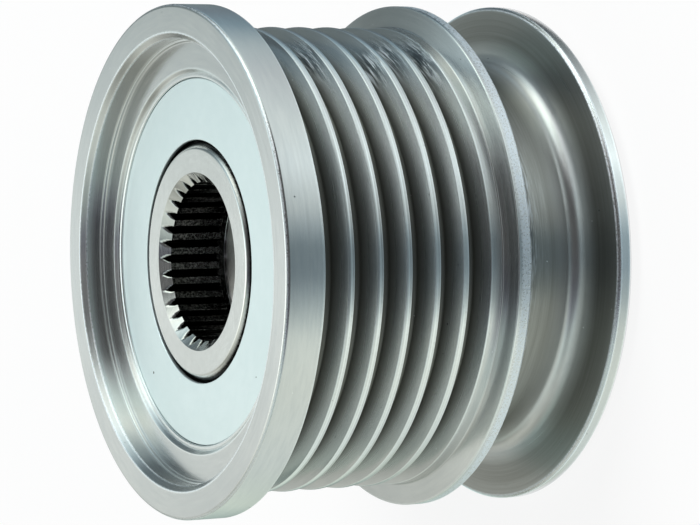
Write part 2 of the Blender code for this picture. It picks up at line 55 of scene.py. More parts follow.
EDGE_TURN = 0.2  # radians that an outline turns at what counts as an edge
NO_EDGE = 9.0  # edge distance of points that no edge mark may reach

Socket = bpy.types.NodeSocket
Tree = bpy.types.NodeTree


# Shapes


@dataclass(frozen=True)
class Corner:
    """One corner of a turned outline.

    Attributes:
        radius: Distance from the axis.
        depth: Distance below the front face.
        fillet: Radius that rounds the corner.
        bevel: Leg of a flat that breaks the corner before it is rounded.
        steps: Straight pieces of the fillet.
    """

    radius: float
    depth: float
    fillet: float = 0.06
    bevel: float = 0.0
    steps: int = 3


@dataclass(frozen=True)
class Outline:
    """A closed outline as arrays, walked so that the material lies on its left.

    Attributes:
        radius: Distance of each point from the axis.
        height: Height of each point above the foot of the hub.
        edge: Way along the outline to the nearest outer corner.
    """

    radius: np.ndarray
    height: np.ndarray
    edge: np.ndarray


@dataclass(frozen=True)
class Surface:
    """A surface: points in millimetres, faces, and named values at the points."""

    points: np.ndarray
    faces: np.ndarray | list
    values: dict[str, np.ndarray] = field(default_factory=dict)


def breaks(corners: list[Corner]) -> list[Corner]:
    """Replace each beveled corner by the two corners of its flat.

    Args:
        corners: The outline with its bevels.

    Returns:
        The outline without bevels, each flat's ends one leg away from its corner.
    """
    result = []
    for index, corner in enumerate(corners):
        if corner.bevel == 0.0:
            result.append(corner)
            continue
        here = np.array((corner.radius, corner.depth))
        for other in (corners[index - 1], corners[(index + 1) % len(corners)]):
            way = np.array((other.radius, other.depth)) - here
            spot = here + way / np.linalg.norm(way) * corner.bevel
            result.append(Corner(spot[0], spot[1], corner.fillet, 0.0, corner.steps))
    return result


def between(start: np.ndarray, end: np.ndarray, longest: float) -> np.ndarray:
    """Divide a straight piece evenly into two or more parts.

    Args:
        start: Its first point.
        end: Its last point.
        longest: Length that no part exceeds.

    Returns:
        The dividing points, without the ends.
    """
    gap = end - start
    parts = max(2, math.ceil(float(np.linalg.norm(gap)) / longest))
    return start + gap * np.linspace(0, 1, parts + 1)[1:-1, None]


def walk(corners: list[Corner], longest: float = 2.5) -> Outline:
    """Round the corners of an outline.

    A fillet of radius f on a corner that turns by t starts f * tan(t / 2) before the
    corner and ends as far after it. Its points lie on the circle that touches both
    sides. Long straight pieces are divided, so that values at points stay close to
    the true distance from a corner.

    Args:
        corners: The sharp outline, in either sense.
        longest: Length above which a straight piece is divided.

    Returns:
        The points of the rounded outline and their way to the nearest outer corner.
    """
    corners = breaks(corners)
    sharp = np.array([(c.radius, HUB_END - c.depth) for c in corners])
    ahead = np.roll(sharp, -1, axis=0)
    if np.sum(sharp[:, 0] * ahead[:, 1] - ahead[:, 0] * sharp[:, 1]) < 0:
        corners, sharp = corners[::-1], sharp[::-1]
    into = sharp - np.roll(sharp, 1, axis=0)
    length_in = np.linalg.norm(into, axis=1)
    into = into / length_in[:, None]
    out, length_out = np.roll(into, -1, axis=0), np.roll(length_in, -1)
    turn = np.arctan2(into[:, 0] * out[:, 1] - into[:, 1] * out[:, 0], np.sum(into * out, axis=1))
    reach = np.array([c.fillet for c in corners]) * np.tan(np.abs(turn) / 2)
    reach = np.minimum(reach, FILLET_SHARE * np.minimum(length_in, length_out))
    points: list[np.ndarray] = []
    outer: list[int] = []
    for index, corner in enumerate(corners):
        bend = abs(float(turn[index]))
        share = np.linspace(0.0, 1.0, corner.steps + 1)[:, None]
        start, end = sharp[index] - into[index] * reach[index], sharp[index] + out[index] * reach[index]
        radius = reach[index] / math.tan(bend / 2)
        centre = start + radius * np.sign(turn[index]) * np.array((-into[index][1], into[index][0]))
        swing = np.sin((1 - share) * bend) * (start - centre) + np.sin(share * bend) * (end - centre)
        arc = centre + swing / math.sin(bend)
        if points:
            points.append(between(points[-1][-1], arc[0], longest))
        if turn[index] > EDGE_TURN:
            outer.append(sum(len(p) for p in points) + corner.steps // 2)
        points.append(arc)
    points.append(between(points[-1][-1], points[0][0], longest))
    line = np.concatenate(points)
    steps = np.linalg.norm(np.roll(line, -1, axis=0) - line, axis=1)
    way = np.concatenate(((0.0,), np.cumsum(steps)[:-1]))
    gap = np.abs(way[:, None] - way[outer][None, :])
    return Outline(line[:, 0], line[:, 1], np.minimum(gap, steps.sum() - gap).min(axis=1))


def around(radius: np.ndarray | float, angle: np.ndarray, height: np.ndarray | float) -> np.ndarray:
    """Return the points (r cos a, r sin a, h) of radii, angles and heights of shapes that fit."""
    return np.stack(np.broadcast_arrays(radius * np.cos(angle), radius * np.sin(angle), height), axis=-1)


def spaced(count: int) -> np.ndarray:
    """Return a number of angles at even distances once round."""
    return np.arange(count) * math.tau / count


def grid_faces(rows: int, columns: int, closed_rows: bool = True) -> np.ndarray:
    """Join the points of a grid that closes on itself round its columns.

    Args:
        rows: Number of its rows.
        columns: Number of points in a row.
        closed_rows: Whether the last row joins the first.

    Returns:
        Four point numbers for each quad.
    """
    row = np.arange(rows if closed_rows else rows - 1)[:, None] * columns
    column = np.arange(columns)[None, :]
    below, beside = (row + columns) % (rows * columns), (column + 1) % columns
    return np.stack((row + column, row + beside, below + beside, below + column), axis=-1).reshape(-1, 4)


def revolve(outline: Outline, columns: int, marks: dict[str, np.ndarray] | None = None) -> Surface:
    """Carry an outline once round the axis.

    Args:
        outline: The section.
        columns: Number of angles.
        marks: More named values of the section's points.

    Returns:
        The turned surface, with the outline's edge distances and the marks at its points.
    """
    points = around(outline.radius[:, None], spaced(columns), outline.height[:, None])
    marks = {"edge": outline.edge} | (marks or {})
    values = {name: np.repeat(mark, columns) for name, mark in marks.items()}
    return Surface(points.reshape(-1, 3), grid_faces(outline.radius.size, columns), values)


def weighted_normals(points: np.ndarray, faces: np.ndarray) -> np.ndarray:
    """Sum the normals of the faces round each point, each weighed by its area.

    Args:
        points: The points of a quad surface.
        faces: Its quads.

    Returns:
        A unit normal for each point.
    """
    corner = points[faces]
    normal = np.cross(corner[:, 2] - corner[:, 0], corner[:, 3] - corner[:, 1])
    total = np.zeros_like(points)
    for side in range(4):
        for axis in range(3):
            total[:, axis] += np.bincount(faces[:, side], normal[:, axis], len(points))
    return total / np.maximum(np.linalg.norm(total, axis=1), 1e-12)[:, None]


def link(name: str, data: bpy.types.ID) -> bpy.types.Object:
    """Make an object of a mesh, lamp or camera and put it into the scene."""
    item = bpy.data.objects.new(name, data)
    bpy.context.scene.collection.objects.link(item)
    return item


def add_piece(
    name: str, surface: Surface, material: bpy.types.Material, body: str, node: str,
    sharp: float | None = None,
) -> None:
    """Make a surface an object of the part.

    Args:
        name: Name of the new object.
        surface: Its points and faces.
        material: Its finish.
        body: The CAD body that it rides on.
        node: The CAD node that it stands for.
        sharp: Angle in degrees above which an edge is shaded sharp; without it, normals
            are weighed by area.
    """
    mesh = bpy.data.meshes.new(name)
    mesh.from_pydata(surface.points * MM, [], surface.faces)
    mesh.polygons.foreach_set("use_smooth", np.ones(len(mesh.polygons), bool))
    for key, value in surface.values.items():
        mesh.attributes.new(key, "FLOAT", "POINT").data.foreach_set("value", value.astype(np.float32))
    mesh.validate()
    mesh.update()
    if sharp is None:
        mesh.normals_split_custom_set_from_vertices(weighted_normals(surface.points, surface.faces))
    else:
        mesh.set_sharp_from_angle(angle=math.radians(sharp))
    mesh.materials.append(material)
    piece = link(name, mesh)
    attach(piece, body)
    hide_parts(node)
    LOG.info("%s: %d points, %d faces on %s", name, len(mesh.vertices), len(mesh.polygons), body)


# Finishes


def linear(colour: str) -> tuple[float, float, float, float]:
    """Return an sRGB hex colour as linear red, green, blue and alpha."""
    parts = [int(colour[i:i + 2], 16) / 255 for i in (1, 3, 5)]
    return (*[c / 12.92 if c <= 0.04045 else ((c + 0.055) / 1.055) ** 2.4 for c in parts], 1.0)


def feed(tree: Tree, node: bpy.types.Node, inputs: dict) -> None:
    """Set or link the inputs of a node.

    Args:
        tree: Tree that holds the node.
        node: The node.
        inputs: Value or output socket for each input, by name or number.
    """
    for name, value in inputs.items():
        if isinstance(value, Socket):
            tree.links.new(value, node.inputs[name])
        else:
            node.inputs[name].default_value = value


def add_node(tree: Tree, kind: str, inputs: dict | None = None, **settings: Any) -> bpy.types.Node:
    """Add one shader node, set its properties, and set or link its sockets.

    Args:
        tree: Tree that takes the node.
        kind: Node type without its common beginning.
        inputs: Value or output socket for each input, by name or number.
        settings: Properties of the node.

    Returns:
        The new node.
    """
    node = tree.nodes.new(f"ShaderNode{kind}")
    for name, value in settings.items():
        setattr(node, name, value)
    feed(tree, node, inputs or {})
    return node


def sums(tree: Tree, operation: str, *values: Socket | float, clamp: bool = False) -> Socket:
    """Return the result of arithmetic on one to three values."""
    return add_node(
        tree, "Math", dict(enumerate(values)), operation=operation, use_clamp=clamp,
    ).outputs[0]


def ramp(
    tree: Tree, value: Socket, start: float, end: Socket | float, low: float = 0.0, high: float = 1.0,
) -> Socket:
    """Return low where the value is start, high where it is end, and a straight line between."""
    inputs = {"Value": value, "From Min": start, "From Max": end, "To Min": low, "To Max": high}
    return add_node(tree, "MapRange", inputs).outputs[0]


def mix(tree: Tree, factor: Socket, first: Socket | str, second: Socket | str) -> Socket:
    """Return the first colour where the factor is 0 and the second where it is 1."""
    first, second = (linear(c) if isinstance(c, str) else c for c in (first, second))
    inputs = {"Factor": factor, "A": first, "B": second}
    return add_node(tree, "Mix", inputs, data_type="RGBA").outputs["Result"]


def noise(
    tree: Tree, vector: Socket, scale: float, detail: float, rough: float = 0.5, **more: Socket | float,
) -> Socket:
    """Return fractal noise at a place; with the input W it is four-dimensional."""
    inputs = {"Vector": vector, "Scale": scale, "Detail": detail, "Roughness": rough} | more
    return add_node(tree, "TexNoise", inputs, noise_dimensions="4D" if "W" in more else "3D").outputs[0]


def mark(tree: Tree, name: str) -> Socket:
    """Return a named value of the surface's points."""
    return add_node(tree, "Attribute", attribute_name=name).outputs["Fac"]


@dataclass(frozen=True)
class Place:
    """Sockets that say where a shaded point is, in millimetres.

    Attributes:
        spot: The point itself.
        radius: Its distance from the axis.
        height: Its height.
        turn: The unit vector from the axis to it.
    """

    spot: Socket
    radius: Socket
    height: Socket
    turn: Socket


def find_place(tree: Tree) -> Place:
    """Work out a shaded point's place round the pulley's axis from Object coordinates.

    Args:
        tree: Tree of the finish.

    Returns:
        The sockets of the place.
    """
    position = add_node(tree, "TexCoord").outputs["Object"]
    spot = add_node(tree, "VectorMath", {0: position, "Scale": 1 / MM}, operation="SCALE").outputs[0]
    flat = add_node(tree, "VectorMath", {0: spot, 1: (1, 1, 0)}, operation="MULTIPLY").outputs[0]
    radius = add_node(tree, "VectorMath", {0: flat}, operation="LENGTH").outputs["Value"]
    turn = add_node(tree, "VectorMath", {0: flat}, operation="NORMALIZE").outputs[0]
    return Place(spot, radius, add_node(tree, "SeparateXYZ", {0: spot}).outputs[2], turn)


def turning_lines(tree: Tree, place: Place, pitch: float, breaks_round: float) -> Socket:
    """Draw the fine rings that a turning tool leaves.

    They are 4-D noise of radius / pitch, height / pitch and the place round the axis,
    so that they change fast across the cut and slowly along it.

    Args:
        tree: Tree of the finish.
        place: Where the shaded point is.
        pitch: Distance from ring to ring.
        breaks_round: How fast a ring changes along its way round.

    Returns:
        The pattern, from 0 to 1.
    """
    turn = add_node(tree, "SeparateXYZ", {0: place.turn}).outputs
    across, along = (sums(tree, "MULTIPLY", way, 1 / pitch) for way in (place.radius, place.height))
    cosine, sine = (sums(tree, "MULTIPLY", turn[axis], breaks_round) for axis in (0, 1))
    vector = add_node(tree, "CombineXYZ", {0: across, 1: along, 2: cosine}).outputs[0]
    return noise(tree, vector, 1.0, 3.0, 0.6, W=sine)


@dataclass(frozen=True)
class Finish:
    """The finish of one material slot.

    Attributes:
        name: Name of the finish.
        slot: Material slot of the record.
        colour: Colour of a clean, lit face.
    """

    name: str
    slot: str
    colour: str

    def inputs(self, tree: Tree) -> dict[str, Socket | float]:
        """Return what the Principled shader gets, by the name of its input."""
        raise NotImplementedError

    def material(self) -> bpy.types.Material:
        """Give the finish as a node material, made once.

        Returns:
            The material.
        """
        found = bpy.data.materials.get(self.name)
        if found is None:
            found = bpy.data.materials.new(self.name)
            found.use_nodes = True
            found["slot"] = self.slot
            tree = found.node_tree
            feed(tree, tree.nodes["Principled BSDF"], self.inputs(tree))
        return found


@dataclass
class Skin:
    """A metal's finish while it is being built up.

    Attributes:
        tree: Tree of the finish.
        place: Where the shaded point is.
        rings: Pattern of the turning rings.
        mottle: Pattern of the fine mottling.
        colour: Reflected colour so far.
        height: Height of the relief so far.
        rough: Roughness so far.
    """

    tree: Tree
    place: Place
    rings: Socket
    mottle: Socket
    colour: Socket
    height: Socket
    rough: Socket

    def tint(self, factor: Socket, colour: Socket | str) -> None:
        """Colour the metal where the factor is 1."""
        self.colour = mix(self.tree, factor, self.colour, colour)

    def sink(self, factor: Socket, depth: float) -> None:
        """Sink the metal by a depth where the factor is 1."""
        self.height = sums(self.tree, "MULTIPLY_ADD", factor, -depth, self.height)

    def roughen(self, factor: Socket, more: float) -> None:
        """Add roughness where the factor is 1."""
        self.rough = sums(self.tree, "MULTIPLY_ADD", factor, more, self.rough)


# Noise values between which a pattern goes from off to on
RING_SPAN, PATCH_SPAN, CRUMB_SPAN = (0.3, 0.7), (0.15, 0.38), (0.34, 0.54)
SCRATCH_SPAN, GAP_SPAN, NICK_SPAN = (0.52, 0.60), (0.50, 0.44), (0.72, 1.0)
# How fast rings, the broken rings of the duller patches, and scratches change on their way round
RING_BREAKS, BROKEN_BREAKS, SCRATCH_BREAKS = 1.5, 9.0, 7.0
BROKEN_PITCH = 2.3  # of the rings' pitch
CLOUD_SCALE, CRUMB_SCALE = 0.09, 4.6  # of noise, in 1 / mm
# Factors by which the rings vary the painted shade of a groove and the tint of the hub's cone
TINT_AND_SHADE_SPREAD = (0.92, 1.08)  # factors by which the rings vary the colour of a recess
BRUSH_STRETCH, BRUSH_HEIGHT = 0.12, 0.0110  # change of brushed lines along themselves, and height
# The next two shape the painted highlight along the outer edges.
EDGE_START, EDGE_SPREAD = 0.05, 0.5  # where a bright edge begins to fade, and its share of mottle
NICK_SIZE, NICK_DEPTH = 0.085, 0.02  # largest radius in cells, and depth
NICK_BARE, NICK_DARK, NICK_BRIGHT = 0.6, "#3E4348", "#F2F5F6"  # chance above which one is bright
SCRATCH_PITCH, SCRATCH_GAP = 0.22, "#565B5F"  # distance of the scratches, colour between them
WEAR_EDGE, WEAR_DEPTH, WEAR_ROUGH = 4.0, 0.010, 0.3  # steepness of its end, depth, roughness
# How far the mottle spreads painted shade, and the colour of that shade
PAINTED_SHADE_GAIN, PAINTED_SHADE_COLOUR = 0.62, "#0C0D0C"
QUARTER_TURN = 0.25  # lays the stretch of reflections across the rings


@dataclass(frozen=True)
class MachinedMetal(Finish):
    """Bare or plated steel that was cut, ground or drawn round the pulley's axis.

    Attributes:
        shade: Colour of the duller patches.
        roughness: Lowest and highest roughness.
        ring_pitch: Distance between the turning rings; coarser than real where they must show.
        ring_height: Height of the rings.
        grain: Size of the mottling.
        grain_height: Height of the mottling.
        anisotropy: How far the rings stretch reflections across themselves.
        metallic: 1 for bare metal, less under a clear layer that hides some of it.
        nick_cell: Size of the cells that may hold a nick, 0 for none.
        painted_edge_highlight: Colour of the painted highlight along the outer edges, if they show.
        painted_shade: Whether the attribute of that name darkens the metal with painted shade.
        tint_and_painted_shade: Colour where the attribute of that name is 1: painted shade in the ring's
            grooves, a paler tint on the hub's cone.
        matt_rough: Roughness that is added where the attribute matt is 1.
        wear: Colour of the metal where the attributes scuff and rub mark its skin as broken.
        brush: Distance between the straight lines that a belt left along X, 0 for none.
    """

    shade: str
    roughness: tuple[float, float]
    ring_pitch: float
    ring_height: float
    grain: float
    grain_height: float
    anisotropy: float
    metallic: float = 1.0
    nick_cell: float = 0.0
    painted_edge_highlight: str | None = None
    painted_shade: bool = False
    tint_and_painted_shade: str | None = None
    matt_rough: float = 0.0
    wear: str | None = None
    brush: float = 0.0

    def inputs(self, tree: Tree) -> dict[str, Socket | float]:
        """Build up the metal's skin, mark by mark.

        Args:
            tree: Tree of the finish.

        Returns:
            What the Principled shader gets, by the name of its input.
        """
        skin = self.plain_skin(tree)
        for wanted, add in (
            (self.brush, self.add_brushing), (self.painted_edge_highlight, self.add_painted_edge_highlight), (self.tint_and_painted_shade, self.add_tint_and_painted_shade),
            (self.nick_cell, self.add_nicks), (self.wear, self.add_wear), (self.painted_shade, self.add_painted_shade),
        ):
            if wanted:
                add(skin)
        bump = add_node(tree, "Bump", {"Height": skin.height, "Strength": 1.0, "Distance": MM}).outputs[0]
        up = (0, 0, 1)
        along = add_node(
            tree, "VectorMath", {0: up, 1: skin.place.turn}, operation="CROSS_PRODUCT",
        ).outputs[0]
        return {
            "Base Color": skin.colour, "Roughness": skin.rough, "Normal": bump, "Tangent": along,
            "Metallic": self.metallic, "Anisotropic": self.anisotropy, "Anisotropic Rotation": QUARTER_TURN,
        }

    def plain_skin(self, tree: Tree) -> Skin:
        """Start the finish with its rings, its mottling and its duller patches.

        Args:
            tree: Tree of the finish.

        Returns:
            The skin without marks.
        """
        place = find_place(tree)
        rings = turning_lines(tree, place, self.ring_pitch, RING_BREAKS)
        broken = turning_lines(tree, place, self.ring_pitch * BROKEN_PITCH, BROKEN_BREAKS)
        mottle = noise(tree, place.spot, 1 / self.grain, 4.0, 0.6)
        cloud = noise(tree, place.spot, CLOUD_SCALE, 2.0)
        patch = ramp(tree, sums(tree, "MULTIPLY", broken, cloud), *PATCH_SPAN)
        height = sums(tree, "MULTIPLY", rings, self.ring_height)
        height = sums(tree, "MULTIPLY_ADD", mottle, self.grain_height, height)
        rough = ramp(tree, rings, *RING_SPAN, *self.roughness)
        return Skin(tree, place, rings, mottle, mix(tree, patch, self.shade, self.colour), height, rough)

    def add_brushing(self, skin: Skin) -> None:
        """Add straight fine lines along X: noise that changes fast along Y and slowly along X.

        Args:
            skin: The finish so far.
        """
        stretch = (BRUSH_STRETCH, 1 / self.brush, BRUSH_STRETCH)
        spot = add_node(skin.tree, "VectorMath", {0: skin.place.spot, 1: stretch}, operation="MULTIPLY")
        skin.sink(noise(skin.tree, spot.outputs[0], 1.0, 3.0, 0.7), -BRUSH_HEIGHT)

    def add_painted_edge_highlight(self, skin: Skin) -> None:
        """Brighten the outer edges with a painted highlight along them.

        Args:
            skin: The finish so far.
        """
        wide = sums(skin.tree, "MULTIPLY", skin.mottle, EDGE_SPREAD)
        skin.tint(ramp(skin.tree, mark(skin.tree, "edge"), EDGE_START, wide, 1.0, 0.0), self.painted_edge_highlight)

    def add_tint_and_painted_shade(self, skin: Skin) -> None:
        """Tint what its attribute marks, ring by ring, as painted shade in the ring's grooves and a paler
        tint on the hub's cone, and roughen what matt marks.

        Args:
            skin: The finish so far.
        """
        depth = mark(skin.tree, "tint_and_painted_shade")
        uneven = ramp(skin.tree, skin.rings, *RING_SPAN, *TINT_AND_SHADE_SPREAD)
        skin.tint(sums(skin.tree, "MULTIPLY", depth, uneven), self.tint_and_painted_shade)
        skin.roughen(mark(skin.tree, "matt"), self.matt_rough)

    def add_nicks(self, skin: Skin) -> None:
        """Scatter small dents: one in four cells of a Voronoi pattern has one, of a random size.

        Args:
            skin: The finish so far.
        """
        tree = skin.tree
        inputs = {"Vector": skin.place.spot, "Scale": 1 / self.nick_cell, "Randomness": 1.0}
        cells = add_node(tree, "TexVoronoi", inputs).outputs
        chance = add_node(tree, "SeparateXYZ", {0: cells["Color"]}).outputs
        size = ramp(tree, chance[0], *NICK_SPAN, 0.0, NICK_SIZE)
        dent = sums(tree, "LESS_THAN", cells["Distance"], size)
        skin.tint(dent, mix(tree, sums(tree, "GREATER_THAN", chance[1], NICK_BARE), NICK_DARK, NICK_BRIGHT))
        skin.sink(dent, NICK_DEPTH)

    def add_wear(self, skin: Skin) -> None:
        """Break the skin where the part was knocked or rubbed.

        The scuff attribute gives crumbled grains along the outer edges, 1 mm wide
        where it is 1, and the rub attribute gives short scratches that run round the
        axis, with dark gaps between them. Both are bare, matt and a little sunk.

        Args:
            skin: The finish so far.
        """
        tree = skin.tree
        scuff, rub = mark(tree, "scuff"), mark(tree, "rub")
        lines = turning_lines(tree, skin.place, SCRATCH_PITCH, SCRATCH_BREAKS)
        skin.tint(sums(tree, "MULTIPLY", rub, ramp(tree, lines, *GAP_SPAN)), SCRATCH_GAP)
        grain = ramp(tree, noise(tree, skin.place.spot, CRUMB_SCALE, 3.0, 0.7), *CRUMB_SPAN)
        reach = sums(tree, "SUBTRACT", scuff, mark(tree, "edge"))
        crumbs = sums(tree, "MULTIPLY", sums(tree, "MULTIPLY", reach, WEAR_EDGE, clamp=True), grain)
        scratches = sums(tree, "MULTIPLY", rub, ramp(tree, lines, *SCRATCH_SPAN))
        broken = sums(tree, "MAXIMUM", crumbs, scratches)
        skin.tint(broken, self.wear)
        skin.sink(broken, WEAR_DEPTH)
        skin.roughen(broken, WEAR_ROUGH)

    def add_painted_shade(self, skin: Skin) -> None:
        """Darken what its attribute marks with painted shade in fine speckles, such as the hub's socket and
        the gap beside it.

        Args:
            skin: The finish so far.
        """
        painted_shade = mark(skin.tree, "painted_shade")
        uneven = sums(skin.tree, "MULTIPLY_ADD", painted_shade, PAINTED_SHADE_GAIN, skin.mottle)
        skin.tint(sums(skin.tree, "MULTIPLY", painted_shade, uneven, clamp=True), PAINTED_SHADE_COLOUR)


@dataclass(frozen=True)
class MouldedPolymer(Finish):
    """A moulded rubber or plastic: fine texture from the mould and a soft sheen.

    Attributes:
        streak: Colour of the flow streaks.
        roughness: Mean roughness.
        grain: Size of the mould's texture.
        ior: Index of refraction.
        rough_spread: How far the roughness strays from its mean.
        texture_height: Height of the mould's texture.
    """

    streak: str
    roughness: float
    grain: float
    ior: float
    rough_spread: float = 0.1
    texture_height: float = 0.02

    def inputs(self, tree: Tree) -> dict[str, Socket | float]:
        """Mix the body with its flow streaks and add the mould's texture.

        Args:
            tree: Tree of the finish.

        Returns:
            What the Principled shader gets, by the name of its input.
        """
        spot = find_place(tree).spot
        flow = noise(tree, spot, 0.6, 5.0, Distortion=1.2)
        grain = noise(tree, spot, 1 / self.grain, 3.0)
        relief = {"Height": grain, "Strength": 0.6, "Distance": self.texture_height * MM}
        low, high = self.roughness - self.rough_spread, self.roughness + self.rough_spread
        return {
            "Base Color": mix(tree, flow, self.colour, self.streak),
            "Roughness": ramp(tree, grain, 0.0, 1.0, low, high),
            "Normal": add_node(tree, "Bump", relief).outputs[0],
            "IOR": self.ior,
        }


# Turned free-cutting steel, electroplated with zinc and passivated clear to blue. The
# eye gets a bright cool grey whose fine rings draw the lights out across themselves.
PLATED_RING = MachinedMetal(
    "zinc_plated_turned_steel", "zinc_plated_steel", "#D9DBDB", "#D0D3D4", (0.16, 0.24), 0.22, 0.0002,
    # A painted highlight on the outer edges, painted shade in the grooves, bare metal where worn.
    0.35, 0.0002, 0.30, nick_cell=1.1, painted_edge_highlight="#EDF1F2", tint_and_painted_shade="#7F7F7A", matt_rough=0.24, wear="#E6EDF5",
)
# Cold-rolled sheet steel with a zinc and clear blue passivation layer, which looks like
# smooth satin of a pale ice blue with hardly any texture.
PASSIVATED_SHEET = MachinedMetal(
    "passivated_sheet_steel", "passivated_plate", "#DDEAEC", "#D8E6E8", (0.34, 0.40), 0.6, 0.0002,
    # Painted shade darkens the wall of the front ring's hole.
    0.5, 0.0002, 0.0, metallic=0.8, nick_cell=3.2, painted_shade=True,
)
# Case-hardened steel, face-turned bright and left bare. It looks warmer than zinc.
BRIGHT_HUB = MachinedMetal(
    "bright_turned_hub_steel", "turned_steel", "#E2E4E3", "#DADCDB", (0.13, 0.20), 0.30, 0.0002,
    # Painted shade darkens its socket, relief, outer side and cone, and its cone has a paler, matt tint.
    0.25, 0.0002, 0.2, painted_shade=True, tint_and_painted_shade="#ECECE6", matt_rough=0.25, brush=0.22,
)
# Through-hardened chrome steel, ground and honed: dark, clear reflections.
GROUND_STEEL = MachinedMetal(
    "ground_bearing_steel", "bearing_steel", "#D2D3D6", "#BFC0C4", (0.08, 0.16), 0.15, 0.0003,
    0.2, 0.0001, 0.4,
)
# Cold-rolled spring strip, tempered in oil, with a straw tint.
TEMPERED_STRIP = MachinedMetal(
    "tempered_spring_strip", "spring_steel", "#B9B3A6", "#958D7E", (0.18, 0.32), 0.3, 0.0005,
    0.2, 0.0004, 0.2,
)
# Nitrile rubber filled with carbon black and pressed in a satin mould.
NITRILE_RUBBER = MouldedPolymer(
    "moulded_nitrile_rubber", "seal_rubber", "#1B1B1C", "#232324", 0.62, 0.12, 1.52,
)
# Injection-moulded polyamide 66 with glass fibre: an ivory body with paler flow marks.
GLASS_FILLED_POLYAMIDE = MouldedPolymer(
    "moulded_glass_filled_polyamide", "cage_polymer", "#C9B58C", "#D9C9A6", 0.45, 0.10, 1.53,
)


# The pulley


@dataclass(frozen=True)
class RubMark:
    """A place where the ring was rubbed: its depth and turn, with its reach each way."""

    depth: float
    wide: float
    turn: float
    long: float


